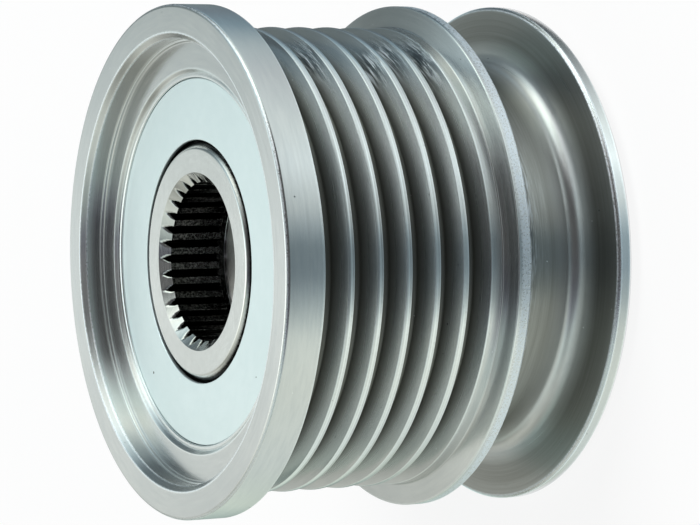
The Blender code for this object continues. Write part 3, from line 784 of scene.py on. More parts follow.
@dataclass(frozen=True)
class PulleyRing:
    """The turned and plated ring: rims, six V grooves, a round groove and a stepped bore."""

    rim_radius: float = 29.3
    front_rim_width: float = 4.5
    front_land: float = 1.42
    rib_count: int = 6
    rib_pitch: float = 3.56
    rib_radius: float = 26.8
    rib_land: float = 0.75
    rib_crown: float = 0.05
    rib_depth: float = 2.6
    rib_half_angle: float = math.radians(20.0)
    rear_land: float = 1.46
    cone_width: float = 0.6
    middle_rim_width: float = 1.7
    groove_width: float = 11.25
    groove_radius: float = 22.0
    groove_lean: float = 0.677
    groove_fillet: float = 2.6
    groove_bend: float = 30.0
    rear_fillet: float = 1.9
    groove_rise: float = 0.3
    rear_rim_width: float = 2.0
    dish_radius: float = 25.4
    dish_step_depth: float = 2.35
    dish_step: float = 0.25
    dish_depth: float = 2.75
    dish_bevel: float = 0.65
    front_seat_radius: float = 21.4
    lip_reach: float = 0.4
    lip_depth: float = 3.2
    shoulder_depth: float = 4.7
    bore_radius: float = 18.0
    rear_face: float = HUB_END - 1.0
    rear_seat_radius: float = 19.4
    rear_seat_height: float = 1.5
    # How far painted shade darkens the V grooves, the round groove's wall and floor and the dish wall, and
    # how matt the round groove is
    v_shade_from: float = 0.25
    wall_shade: float = 0.88
    floor_shade: float = 0.8
    dish_shade: float = 0.25
    groove_matt: float = 0.45
    rub_marks: tuple[RubMark, ...] = (
        RubMark(34.3, 0.9, 12.0, 26.0), RubMark(34.2, 0.7, -36.0, 12.0), RubMark(25.9, 0.8, 60.0, 10.0),
        RubMark(22.3, 0.7, 62.0, 8.0), RubMark(18.8, 0.7, 56.0, 7.0), RubMark(11.7, 0.6, 60.0, 8.0),
    )
    columns: int = 320

    def groove_start(self) -> float:
        """Return the depth where the round groove starts, behind the middle rim."""
        ribs = self.front_rim_width + self.front_land + self.rib_count * self.rib_pitch - self.rib_land
        return ribs + self.rear_land + self.cone_width + self.middle_rim_width

    def track(self) -> list[Corner]:
        """Lay out the outside from the front face to the rear face.

        Returns:
            Its corners.
        """
        half = (self.rib_pitch - self.rib_land) / 2
        floor = half - self.rib_depth * math.tan(self.rib_half_angle)
        root, shoulder = self.rib_radius - self.rib_depth, self.rib_radius - self.rib_crown
        corners = [
            Corner(self.rim_radius, 0.0, 0.42, 0.0, 6),
            Corner(self.rim_radius, self.front_rim_width, 0.10),
            Corner(self.rib_radius, self.front_rim_width, 0.20),
        ]
        for rib in range(self.rib_count):
            middle = self.front_rim_width + self.front_land + half + rib * self.rib_pitch
            corners += [
                Corner(shoulder, middle - half, 0.07),
                Corner(root, middle - floor, 0.22),
                Corner(root, middle + floor, 0.22),
                Corner(shoulder, middle + half, 0.07),
                Corner(self.rib_radius, middle + half + self.rib_land / 2, 1.0, 0.0, 4),
            ]
        corners.pop()
        groove = self.groove_start()
        rear = groove - self.middle_rim_width - self.cone_width
        end = groove + self.groove_width
        return corners + [
            Corner(self.rib_radius, rear, 0.2),
            Corner(self.rim_radius, rear + self.cone_width, 0.12),
            Corner(self.rim_radius, groove, 0.10, 0.3),
            Corner(self.groove_radius, groove + self.groove_lean, self.groove_fillet, 0.0, 14),
            Corner(self.groove_radius, groove + 0.4 * self.groove_width, self.groove_bend, 0.0, 8),
            Corner(self.groove_radius + self.groove_rise, end - self.groove_lean, self.rear_fillet, 0.0, 14),
            Corner(self.rim_radius, end, 0.10, 0.3),
            Corner(self.rim_radius, end + self.rear_rim_width, 0.10, 0.5),
        ]

    def bore(self) -> list[Corner]:
        """Lay out the inside from the rear face to the dished front face.

        Returns:
            Its corners, with the small bead and groove round the front cover's seat.
        """
        rear_shoulder = self.rear_face - self.rear_seat_height
        seat, lip = self.front_seat_radius, self.front_seat_radius - self.lip_reach
        step = self.dish_radius - self.dish_step
        return [
            Corner(self.rear_seat_radius, self.rear_face, 0.05, 0.2),
            Corner(self.rear_seat_radius, rear_shoulder, 0.05),
            Corner(self.bore_radius, rear_shoulder, 0.05, 0.2),
            Corner(self.bore_radius, self.shoulder_depth, 0.05, 0.2),
            Corner(seat, self.shoulder_depth, 0.05),
            Corner(seat, self.lip_depth + 0.5, 0.05),
            Corner(lip, self.lip_depth + 0.4, 0.05),
            Corner(lip, self.lip_depth, 0.15, 0.0, 5),
            Corner(seat, self.lip_depth, 0.10, 0.0, 4),
            Corner(seat + 0.07, self.lip_depth + 0.16, 0.04),
            Corner(seat + 0.16, self.lip_depth - 0.05, 0.04),
            Corner(seat + 0.58, self.dish_depth, 0.05),
            Corner(step, self.dish_depth, 0.6, 0.0, 6),
            Corner(step, self.dish_step_depth, 0.08),
            Corner(self.dish_radius, self.dish_step_depth, 0.08),
            Corner(self.dish_radius, 0.0, 0.12, self.dish_bevel),
        ]

    def build(self) -> None:
        """Make and dress the ring."""
        outline = walk(self.track() + self.bore())
        depth = HUB_END - outline.height
        near = outline.radius > self.rib_radius - self.rib_depth - 0.1
        ribbed = near & (outline.radius < self.rib_radius + 0.01) & (depth > self.front_rim_width + 0.2)
        ribbed &= depth < self.groove_start() - self.middle_rim_width - 0.3
        down = np.where(ribbed, (self.rib_radius - outline.radius) / self.rib_depth, 0.0)
        edge = np.where(down > 0.05, NO_EDGE, outline.edge)
        surface = revolve(
            Outline(outline.radius, outline.height, edge), self.columns,
            self.groove_shading(outline, depth, down) | {"scuff": self.scuffed(outline, depth)},
        )
        surface.values["rub"] = self.rubbed(surface.points)
        add_piece("pulley_ring", surface, PLATED_RING.material(), "pulley_body", "pulley")

    def groove_shading(self, outline: Outline, depth: np.ndarray, down: np.ndarray) -> dict[str, np.ndarray]:
        """Say where painted shade darkens the ring, and where it is matt.

        In a V groove both grow from a quarter of its depth to its floor, along the
        curve 3x^2 - 2x^3. In the round groove the floor is shaded up to the rear fillet,
        and the rear wall up to its edge. The wall of the dish is a little shaded.

        Args:
            outline: The section.
            depth: Depth of its points.
            down: How deep they lie in a V groove, from 0 to 1.

        Returns:
            The values of painted shade and matt at the section's points.
        """
        share = np.clip((down - self.v_shade_from) / (1.0 - self.v_shade_from), 0.0, 1.0)
        tint_and_painted_shade = share * share * (3 - 2 * share)
        behind = (depth - self.groove_start()) / self.groove_width
        wall = self.wall_shade * np.interp(outline.radius - self.groove_radius, (1.3, 2.9), (0, 1))
        floor = self.floor_shade * np.interp(behind, (0.12, 0.42, 0.70, 0.85), (0, 1, 1, 0))
        groove_shade_level = np.maximum(wall * (behind > 0.5), floor)
        groove_shade_level = groove_shade_level * np.interp(self.rim_radius - outline.radius, (0.0, 0.4), (0, 1))
        grooved = (behind > 0.0) & (behind < 1.0) & (outline.radius > self.groove_radius - 0.5)
        matt = np.where(grooved, self.groove_matt, tint_and_painted_shade)
        tint_and_painted_shade = np.where(grooved, groove_shade_level, tint_and_painted_shade)
        walled = (np.abs(outline.radius - self.dish_radius) < 0.02) & (depth < self.dish_step_depth)
        return {"tint_and_painted_shade": np.where(walled, self.dish_shade, tint_and_painted_shade), "matt": matt}

    def scuffed(self, outline: Outline, depth: np.ndarray) -> np.ndarray:
        """Say how far the edges are scuffed: most at the middle rim's back edge.

        Args:
            outline: The section.
            depth: Depth of its points.

        Returns:
            The width of the scuffed band at each point.
        """
        high = outline.radius > self.rim_radius - 0.6
        groove = self.groove_start()
        dish_edge = self.dish_bevel / 2
        away = np.hypot(outline.radius - self.dish_radius - dish_edge, depth - dish_edge)
        scuff = np.where(away < 0.7, 0.18, 0.0)
        scuff = np.where(high & (depth < 0.6), 0.20, scuff)
        scuff = np.where(high & (np.abs(depth - groove - self.groove_width) < 0.7), 0.22, scuff)
        return np.where(high & (depth > groove - 1.1) & (depth < groove + 0.5), 1.0, scuff)

    def rubbed(self, points: np.ndarray) -> np.ndarray:
        """Say how far each point is rubbed: exp(-(depth away / wide)^2 - (turn away / long)^2).

        Args:
            points: Points of the ring.

        Returns:
            The rub of each point, from 0 to 1.
        """
        turn = np.degrees(np.arctan2(points[:, 0], -points[:, 1]))
        depth = HUB_END - points[:, 2]
        outside = np.hypot(points[:, 0], points[:, 1]) > self.groove_radius - 0.5
        rub = np.zeros(len(points))
        for spot in self.rub_marks:
            away = (turn - spot.turn + 180) % 360 - 180
            far = ((depth - spot.depth) / spot.wide) ** 2 + (away / spot.long) ** 2
            rub = np.maximum(rub, np.exp(-far))
        return np.where(outside & (rub > 0.02), rub, 0.0)


@dataclass(frozen=True)
class EndCovers:
    """The two flat sheet rings that close the ends of the pulley."""

    front_hole: float = 13.9
    front_width: float = 7.06
    front_depth: float = 3.4
    front_thickness: float = 1.0
    rear_hole: float = 12.1
    rear_width: float = 7.0
    rear_depth: float = 43.14
    rear_thickness: float = 0.8
    # Depth below the front ring's top where painted shade on its hole's wall begins, and how far it fades in
    gap_shade_start: float = 0.17
    gap_shade_fade: float = 0.15
    columns: int = 360

    def build(self) -> None:
        """Make and dress both rings, with painted shade on the wall of the front ring's hole."""
        back, outer = self.front_depth + self.front_thickness, self.front_hole + self.front_width
        front = walk([
            Corner(self.front_hole, self.front_depth, 0.12, 0.0, 5),
            Corner(outer, self.front_depth, 0.12, 0.0, 5),
            Corner(outer, back, 0.1),
            Corner(self.front_hole, back, 0.1),
        ])
        back, outer = self.rear_depth - self.rear_thickness, self.rear_hole + self.rear_width
        rear = walk([
            Corner(self.rear_hole, self.rear_depth, 0.1),
            Corner(outer, self.rear_depth, 0.2, 0.0, 5),
            Corner(outer, back, 0.1),
            Corner(self.rear_hole, back, 0.1),
        ])
        below = HUB_END - self.front_depth - front.height
        gap_shade = np.clip((below - self.gap_shade_start) / self.gap_shade_fade, 0.0, 1.0)
        gap_shade = np.where(front.radius < self.front_hole + 0.5, gap_shade, 0.0)
        for side, surface in (
            ("front", revolve(front, self.columns, {"painted_shade": gap_shade})), ("rear", revolve(rear, self.columns)),
        ):
            material = PASSIVATED_SHEET.material()
            add_piece(f"{side}_cover", surface, material, "pulley_body", f"{side}_cover_plate")


class SealSide(Enum):
    """The two seals: depth of the web's outer side, way inward, lip radius and end of the leg."""

    FRONT = (4.7, 1.0, 13.9, 9.2)
    REAR = (42.04, -1.0, 12.1, 37.84)


@dataclass(frozen=True)
class Seals:
    """The two moulded seals, each a leg in the bore, a web and a lip."""

    outer: float = 17.7
    wall: float = 1.0
    web: float = 1.2
    lip_length: float = 2.9
    lip_width: float = 0.6
    columns: int = 160

    def build(self) -> None:
        """Make and dress both seals."""
        for side in SealSide:
            edge, inward, lip_radius, leg_end = side.value
            web, lip_end = edge + inward * self.web, edge + inward * self.lip_length
            section = walk([
                Corner(lip_radius, edge, 0.12),
                Corner(self.outer, edge, 0.12),
                Corner(self.outer, leg_end, 0.12),
                Corner(self.outer - self.wall, leg_end, 0.12),
                Corner(self.outer - self.wall, web, 0.3),
                Corner(lip_radius + 2 * self.lip_width, web, 0.3),
                Corner(lip_radius + self.lip_width, lip_end, 0.15),
                Corner(lip_radius, lip_end, 0.12),
            ])
            name, surface = side.name.lower(), revolve(section, self.columns)
            add_piece(f"{name}_lip_seal", surface, NITRILE_RUBBER.material(), "pulley_body", f"{name}_seal")


# The hub


@dataclass(frozen=True)
class SplinedHub:
    """The hub: a sleeve with a splined socket, a relief, a threaded bore and a pilot bore."""

    race_radius: float = 13.6
    face_depth: float = 3.2
    shoulder_depth: float = 7.9
    seat_radius: float = 11.8
    tooth_count: int = 33
    tip_radius: float = 9.1
    tooth_depth: float = 0.85
    tooth_land: float = 0.8
    spline_end: float = 10.5
    mouth_bevel: float = 1.1
    edge_bevel: float = 0.65
    edge_fillet: float = 0.45
    relief_radius: float = 10.2
    relief_end: float = 11.7
    thread_start: float = 13.9
    thread_end: float = 31.24
    thread_radius: float = 7.2
    thread_depth: float = 0.75
    thread_pitch: float = 1.5
    thread_fade: float = 1.0
    pilot_start: float = 32.54
    pilot_radius: float = 8.5
    pilot_bevel: float = 0.5
    # How far painted shade darkens the lands, the relief, the outer side below the face and the cone
    land_shade: float = 0.88
    relief_shade: float = 0.94
    side_shade: float = 0.95
    cone_shade: float = 0.30
    cone_matt: float = 1.6
    cut_fade: float = 0.08
    side_start: float = 0.12
    side_fade: float = 0.2

    def column_angles(self) -> np.ndarray:
        """Return the angles of the columns, closer together at the edges of each tooth."""
        pitch = math.tau * self.tip_radius / self.tooth_count
        edge = (pitch - self.tooth_land) / 2
        side = np.array((0.03, 0.15, 0.28, 0.40, edge, edge + 0.05, edge + 0.2))
        offsets = np.concatenate((-side[::-1], side, (pitch / 2,)))
        return (spaced(self.tooth_count)[:, None] + offsets / self.tip_radius).ravel()

    def tooth_radius(self, angle: np.ndarray) -> np.ndarray:
        """Work out the radius of the spline.

        From the middle of a valley the flanks run in a straight line from the root
        radius to the tip radius, and the land keeps the tip radius.

        Args:
            angle: Angles round the axis.

        Returns:
            The radius at each angle.
        """
        pitch = math.tau / self.tooth_count
        away = np.abs((angle + pitch / 2) % pitch - pitch / 2) * self.tip_radius
        edge = (pitch * self.tip_radius - self.tooth_land) / 2
        return self.tip_radius + self.tooth_depth * np.clip(1 - away / edge, 0.0, 1.0)

    def outline(self) -> Outline:
        """Lay out the section with dense rows, which the teeth and the thread need.

        Returns:
            The rounded section.
        """
        return walk([
            Corner(self.race_radius - self.edge_bevel, self.face_depth, self.edge_fillet, 0.0, 6),
            Corner(self.race_radius, self.face_depth + self.edge_bevel, 0.1),
            Corner(self.race_radius, self.shoulder_depth, 0.1),
            Corner(self.seat_radius, self.shoulder_depth, 0.2),
            Corner(self.seat_radius, HUB_END, 0.06, 0.3),
            Corner(self.pilot_radius, HUB_END, 0.06, self.pilot_bevel),
            Corner(self.pilot_radius, self.pilot_start, 0.2),
            Corner(self.thread_radius, self.thread_end, 0.1),
            Corner(self.thread_radius, self.thread_start, 0.1),
            Corner(self.relief_radius, self.relief_end, 0.15),
            Corner(self.relief_radius, self.spline_end + 0.02, 0.05),
            Corner(self.tip_radius, self.spline_end, 0.05),
            Corner(self.tip_radius, self.face_depth, 0.02, self.mouth_bevel),
        ], longest=0.5)

    def hub_shading(self, inside: np.ndarray, depth: np.ndarray, cut: np.ndarray) -> np.ndarray:
        """Say how far painted shade darkens the hub: in the socket, the relief, the cone and the gap round
        its outer side.

        Args:
            inside: Whether each row lies in the bore.
            depth: Depth of each row.
            cut: How far each point is cut back by the spline, from 0 to 1.

        Returns:
            The painted shade of each point, from 0 to 1.
        """
        socket = inside & (depth < self.spline_end + 0.01)
        lands = socket & (depth > self.face_depth + self.mouth_bevel)
        side = ~inside & (depth > self.face_depth) & (depth < HUB_END - 1.0)
        painted_shade = np.where(socket, cut, 0.0)
        painted_shade = np.where(lands, self.land_shade + (1 - self.land_shade) * cut, painted_shade)
        painted_shade = np.where(inside & (depth > self.spline_end), self.relief_shade, painted_shade)
        painted_shade = np.where(inside & (depth > self.relief_end), 0.0, painted_shade)
        down = (depth - self.face_depth - self.side_start) / self.side_fade
        painted_shade = np.where(side, np.clip(down, 0.0, self.side_shade), painted_shade)
        return np.where(self.cone(inside, depth), self.cone_shade, painted_shade)

    def cone(self, inside: np.ndarray, depth: np.ndarray) -> np.ndarray:
        """Return whether each row lies on the cone between the relief and the thread."""
        return inside & (depth > self.relief_end + 0.05) & (depth < self.thread_start)

    def build(self) -> None:
        """Make and dress the hub.

        A row of the section is carried round the axis. In the socket its radius is
        the larger of the section's radius and the spline's. In the threaded bore a
        ridge of one pitch follows height / pitch less the share of the turn.
        """
        section = self.outline()
        angle = self.column_angles()
        depth = (HUB_END - section.height)[:, None]
        bare = section.radius[:, None]
        inside = bare < self.relief_radius + 0.01
        socket = inside & (depth < self.spline_end + 0.01)
        radius = np.where(socket, np.maximum(bare, self.tooth_radius(angle)[None, :]), bare)
        phase = (depth / self.thread_pitch - angle[None, :] / math.tau) % 1.0
        fade = np.clip((depth - self.thread_start) / self.thread_fade, 0, 1)
        fade = fade * np.clip((self.thread_end - depth) / self.thread_fade, 0, 1)
        threaded = inside & (depth > self.thread_start) & (depth < self.thread_end)
        ridge = self.thread_depth * (1 - np.abs(2 * phase - 1))
        radius = np.where(threaded, radius + ridge * fade, radius)
        cut = np.clip((radius - bare) / self.cut_fade, 0, 1)
        cone = np.broadcast_to(np.where(self.cone(inside, depth), 1.0, 0.0), radius.shape).ravel()
        # Painted shade in the socket, the relief, the cone and round the outer side, and the cone's paler
        # matt tint
        painted_shade = self.hub_shading(inside, depth, cut).ravel()
        values = {"painted_shade": painted_shade, "tint_and_painted_shade": cone, "matt": self.cone_matt * cone}
        points = around(radius, angle, HUB_END - depth).reshape(-1, 3)
        surface = Surface(points, grid_faces(section.radius.size, angle.size), values)
        add_piece("splined_hub", surface, BRIGHT_HUB.material(), "hub_body", "hub")


# The bearings and the clutch

CAGE_STEP = math.radians(3.0)  # largest angle between two columns of a cage
CAGE_SHARP, PIN_SHARP, SPRING_SHARP = 30.0, 35.0, 40.0  # degrees


def pin(diameter: float, length: float, bevel: float, columns: int) -> Surface:
    """Make a round pin along Z about the origin, with rounded rims and flat ends.

    Its outline runs from one end face to the other, is carried round the pin's own
    axis, and a flat face closes each end.

    Args:
        diameter: Diameter of the pin.
        length: Its whole length.
        bevel: Radius of its rims.
        columns: Points round it.

    Returns:
        The closed pin.
    """
    radius, half = diameter / 2, length / 2
    bend = np.linspace(0.0, math.pi / 2, 4)
    rim = radius - bevel + bevel * np.sin(bend)
    high = half - bevel + bevel * np.cos(bend)
    line_r = np.concatenate(((radius - 2 * bevel,), rim, rim[::-1], (radius - 2 * bevel,)))
    line_z = np.concatenate(((half,), high, -high[::-1], (-half,)))
    points = around(line_r[:, None], spaced(columns), line_z[:, None]).reshape(-1, 3)
    walls = grid_faces(line_r.size, columns, closed_rows=False)[:, ::-1].tolist()
    top = list(range(columns))
    bottom = [(line_r.size - 1) * columns + c for c in top][::-1]
    return Surface(points, walls + [top, bottom])


def placed(surface: Surface, angle: float, radius: float, depth: float) -> Surface:
    """Move a surface from the origin to its place in a bearing.

    Args:
        surface: The surface about the origin.
        angle: Angle round the axis by which it is turned, so that its X faces out.
        radius: Distance from the axis.
        depth: Depth of its middle.

    Returns:
        The surface in its place.
    """
    matrix = np.array(Matrix.Rotation(angle, 3, "Z"))
    points = (surface.points + (radius, 0.0, 0.0)) @ matrix.T + (0.0, 0.0, HUB_END - depth)
    return Surface(points, surface.faces)


def flat_ring(inner: float, outer: float, top: float, bottom: float, fillet: float) -> list[Corner]:
    """Return the corners of a flat ring, all with the same fillet."""
    return [
        Corner(inner, top, fillet), Corner(outer, top, fillet),
        Corner(outer, bottom, fillet), Corner(inner, bottom, fillet),
    ]


@dataclass(frozen=True)
class Cage:
    """A cylinder wall with a row of equal rectangular windows through it.

    Attributes:
        inner: Inner radius.
        outer: Outer radius.
        top: Depth of the upper end.
        bottom: Depth of the lower end.
        rim: Height of the wall above and below the windows.
        count: Number of windows.
        first: Angle from the middle of what a window holds to its first side.
        last: Angle from there to its other side.
    """

    inner: float
    outer: float
    top: float
    bottom: float
    rim: float
    count: int
    first: float
    last: float

    def column_angles(self) -> np.ndarray:
        """Return the angles of the columns: the sides of the windows, with even steps between them."""
        ends = spaced(self.count)[:, None] + (self.first, self.last)
        sides = sorted({round(float(a), 9) for a in ends.ravel() % math.tau})
        angles: list[float] = []
        for here, then in zip(sides, sides[1:] + [sides[0] + math.tau]):
            parts = max(1, math.ceil((then - here) / CAGE_STEP))
            angles += list(np.linspace(here, then, parts + 1)[:-1])
        return np.array(angles)

    def solid_cells(self, angle: np.ndarray) -> np.ndarray:
        """Say which cells of the wall are solid: those whose middle no window holds.

        Args:
            angle: Angles of the columns.

        Returns:
            Three rows of cells: rim, windows and rim.
        """
        middle = (angle + np.append(angle[1:], angle[0] + math.tau)) / 2
        hole = np.zeros(angle.size, bool)
        for start in spaced(self.count) + self.first:
            hole |= ((middle - start) % math.tau) < (self.last - self.first)
        solid = np.ones((3, angle.size), bool)
        solid[1] = ~hole
        return solid

    def surface(self) -> Surface:
        """Make the wall.

        Solid cells give an outer and an inner quad, and where solid meets open, a
        quad across the wall joins the two.

        Returns:
            The closed wall.
        """
        angle = self.column_angles()
        depth = np.array((self.top, self.top + self.rim, self.bottom - self.rim, self.bottom))
        solid = self.solid_cells(angle)
        columns, rows = angle.size, depth.size
        layers = [around(r, angle, (HUB_END - depth)[:, None]) for r in (self.outer, self.inner)]
        points = np.concatenate([layer.reshape(-1, 3) for layer in layers])
        shift = rows * columns
        row, column = np.nonzero(solid)
        low, beside = row * columns, (column + 1) % columns
        high = low + columns
        quad = np.stack((low + column, high + column, high + beside, low + beside), axis=-1)
        faces = quad.tolist() + (quad[:, ::-1] + shift).tolist()
        padded = np.zeros((rows + 1, columns), bool)
        padded[1:-1] = solid
        for row, column in zip(*np.nonzero(padded[1:] != padded[:-1])):
            a, b = row * columns + column, row * columns + (column + 1) % columns
            wall = [int(a), int(b), int(b + shift), int(a + shift)]
            faces.append(wall if padded[row + 1, column] else wall[::-1])
        for row, column in zip(*np.nonzero(solid != np.roll(solid, 1, axis=1))):
            a, b = row * columns + column, (row + 1) * columns + column
            wall = [int(b), int(a), int(a + shift), int(b + shift)]
            faces.append(wall if solid[row, column] else wall[::-1])
        return Surface(points, faces)


class Side(Enum):
    """The two ends of the bearing, each with the depth where its needle cage starts."""

    FRONT = 10.6
    REAR = 29.04


@dataclass(frozen=True)
class NeedleBearing:
    """One caged row of needles."""

    side: Side
    count: int = 14
    diameter: float = 2.6
    bevel: float = 0.25
    pitch_radius: float = 15.2
    cage_length: float = 7.4
    cage_rim: float = 0.8
    cage_wall: float = 1.8
    gap: float = 0.3
    columns: int = 28

    def build(self) -> None:
        """Make and dress the cage and its needles."""
        side = self.side.name.lower()
        start, end = self.side.value, self.side.value + self.cage_length
        half = math.asin((self.diameter / 2 + self.gap) / self.pitch_radius)
        inner, outer = self.pitch_radius - self.cage_wall / 2, self.pitch_radius + self.cage_wall / 2
        cage = Cage(inner, outer, start, end, self.cage_rim, self.count, -half, half).surface()
        polymer, steel = GLASS_FILLED_POLYAMIDE.material(), GROUND_STEEL.material()
        add_piece(f"{side}_cage", cage, polymer, f"{side}_cage_body", f"{side}_needle_cage", CAGE_SHARP)
        length = self.cage_length - 2 * (self.cage_rim + self.gap)
        needle = pin(self.diameter, length, self.bevel, self.columns)
        for index, angle in enumerate(spaced(self.count), 1):
            name = f"{side}_needle_{index:02d}"
            spot = placed(needle, angle, self.pitch_radius, (start + end) / 2)
            add_piece(f"{name}_pin", spot, steel, f"{name}_body", name, PIN_SHARP)


@dataclass(frozen=True)
class RollerClutch:
    """The sprung roller clutch: ramps on the inner ring, a cage, rollers and springs."""

    middle: float = 23.52
    start: float = 18.3
    end: float = 28.74
    count: int = 8
    diameter: float = 3.0
    bevel: float = 0.3
    roller_radius: float = 15.0
    race_radius: float = 13.6
    ring_bore: float = 12.1
    ring_start: float = 9.5
    ring_end: float = 37.54
    sleeve_bore: float = 16.8
    cage_rim: float = 1.0
    gap: float = 0.3
    ramp_angle: float = math.radians(4.0)
    spring_span: float = 2.4
    spring_leaf: float = 0.25
    spring_width: float = 1.6
    spring_folds: int = 4
    ring_columns: int = 480
    roller_columns: int = 32

    def roller_length(self) -> float:
        """Return the length of a roller."""
        return self.end - self.start - 2 * (self.cage_rim + self.gap)

    def inner_ring(self) -> Surface:
        """Make the inner ring with a flat ramp under each roller.

        A ramp is a plane that is turned by the ramp angle about its roller's middle:
        at the angle b from the roller it lies at n / cos(b - ramp angle) from the axis,
        with n its distance from the axis. The race keeps the smaller radius.

        Returns:
            The ring.
        """
        corners = flat_ring(self.ring_bore, self.race_radius, self.ring_start, self.ring_end, 0.2)
        section = walk(corners, longest=0.6)
        angle = spaced(self.ring_columns)
        pitch = math.tau / self.count
        near = (angle + pitch / 2) % pitch - pitch / 2
        plane = self.roller_radius * math.cos(self.ramp_angle) - self.diameter / 2 - self.gap
        low = -self.diameter / self.roller_radius
        high = (self.diameter + self.spring_span / 2) / self.roller_radius
        ramped = (near > low) & (near < high)
        flat = np.where(ramped, plane / np.cos(near - self.ramp_angle), np.inf)
        depth, bare = (HUB_END - section.height)[:, None], section.radius[:, None]
        half = self.roller_length() / 2 + self.gap
        over = (np.abs(depth - self.middle) < half) & (bare > self.race_radius - 0.01)
        radius = np.where(over, np.minimum(bare, flat[None, :]), bare)
        points = around(radius, angle, HUB_END - depth).reshape(-1, 3)
        return Surface(points, grid_faces(section.radius.size, angle.size))

    def spring(self) -> Surface:
        """Make one folded leaf spring.

        Its middle line is a triangle wave of the height, rounded by a sine near the
        folds. The leaf's four corners follow it at half its thickness to each side,
        and at half its width along X.

        Returns:
            The closed leaf, as far along Y from the origin as it stands from its roller.
        """
        half = self.roller_length() / 2 - self.gap
        share = np.linspace(0.0, 1.0, 16 * self.spring_folds + 1)
        wave = np.arcsin(0.985 * np.cos(share * math.pi * self.spring_folds)) / (math.pi / 2)
        reach = (self.spring_span - self.spring_leaf) / 2
        line = np.stack((reach * wave / np.abs(wave).max(), half * (2 * share - 1)), axis=-1)
        run = np.gradient(line, axis=0)
        run /= np.linalg.norm(run, axis=1)[:, None]
        aside = np.stack((-run[:, 1], run[:, 0]), axis=-1) * self.spring_leaf / 2
        wide = self.spring_width / 2
        corners = [(-wide, line - aside), (wide, line - aside), (wide, line + aside), (-wide, line + aside)]
        points = np.stack([np.column_stack((np.full(len(line), x), yz)) for x, yz in corners], axis=1)
        points[..., 2] = np.clip(points[..., 2], -half, half)
        points[..., 1] += self.diameter / 2 + 2 * self.gap + self.spring_span / 2
        faces = grid_faces(len(line), 4, closed_rows=False)[:, ::-1].tolist()
        last = (len(line) - 1) * 4
        return Surface(points.reshape(-1, 3), faces + [[0, 1, 2, 3], [last + 3, last + 2, last + 1, last]])

    def build(self) -> None:
        """Make and dress the ring, the cage, the rollers and the springs."""
        steel, strip = GROUND_STEEL.material(), TEMPERED_STRIP.material()
        add_piece("ramped_inner_ring", self.inner_ring(), steel, "hub_body", "clutch_inner_ring")
        first = -(self.diameter / 2 + self.gap) / self.roller_radius
        last = (self.diameter / 2 + 3 * self.gap + self.spring_span) / self.roller_radius
        inner, outer = self.race_radius + self.gap, self.sleeve_bore - self.gap
        cage = Cage(inner, outer, self.start, self.end, self.cage_rim, self.count, first, last).surface()
        polymer = GLASS_FILLED_POLYAMIDE.material()
        add_piece("roller_cage", cage, polymer, "hub_body", "clutch_cage", CAGE_SHARP)
        roller = pin(self.diameter, self.roller_length(), self.bevel, self.roller_columns)
        spring = self.spring()
        for index, angle in enumerate(spaced(self.count), 1):
            name, leaf = f"clutch_roller_{index}", f"leaf_spring_{index}"
            spot = placed(roller, angle, self.roller_radius, self.middle)
            add_piece(f"{name}_pin", spot, steel, f"{name}_body", name, PIN_SHARP)
            spot = placed(spring, angle, self.roller_radius, self.middle)
            add_piece(leaf, spot, strip, "hub_body", f"clutch_spring_{index}", SPRING_SHARP)


@dataclass(frozen=True)
class BearingShells:
    """The drawn outer sleeve and the two thrust washers."""

    sleeve_radius: float = 17.7
    sleeve_bore: float = 16.8
    lip_radius: float = 14.7
    lip_thickness: float = 0.8
    draw_radius: float = 0.8
    sleeve_start: float = 9.5
    sleeve_end: float = 37.54
    washer_bore: float = 12.1
    washer_radius: float = 16.4
    washer_thickness: float = 1.0
    front_washer: float = 8.2
    rear_washer: float = 37.84
    columns: int = 192

    def build(self) -> None:
        """Make and dress the sleeve and the washers."""
        top, bottom = self.sleeve_start, self.sleeve_end
        sleeve = walk([
            Corner(self.lip_radius, top, 0.15),
            Corner(self.sleeve_radius, top, self.draw_radius, 0.0, 8),
            Corner(self.sleeve_radius, bottom, self.draw_radius, 0.0, 8),
            Corner(self.lip_radius, bottom, 0.15),
            Corner(self.lip_radius, bottom - self.lip_thickness, 0.15),
            Corner(self.sleeve_bore, bottom - self.lip_thickness, 0.2),
            Corner(self.sleeve_bore, top + self.lip_thickness, 0.2),
            Corner(self.lip_radius, top + self.lip_thickness, 0.15),
        ])
        steel = GROUND_STEEL.material()
        add_piece("drawn_sleeve", revolve(sleeve, self.columns), steel, "pulley_body", "bearing_sleeve")
        for side, start in (("front", self.front_washer), ("rear", self.rear_washer)):
            end = start + self.washer_thickness
            section = walk(flat_ring(self.washer_bore, self.washer_radius, start, end, 0.12))
            washer = revolve(section, self.columns)
            add_piece(f"{side}_ground_washer", washer, steel, "hub_body", f"{side}_thrust_washer")


# The studio


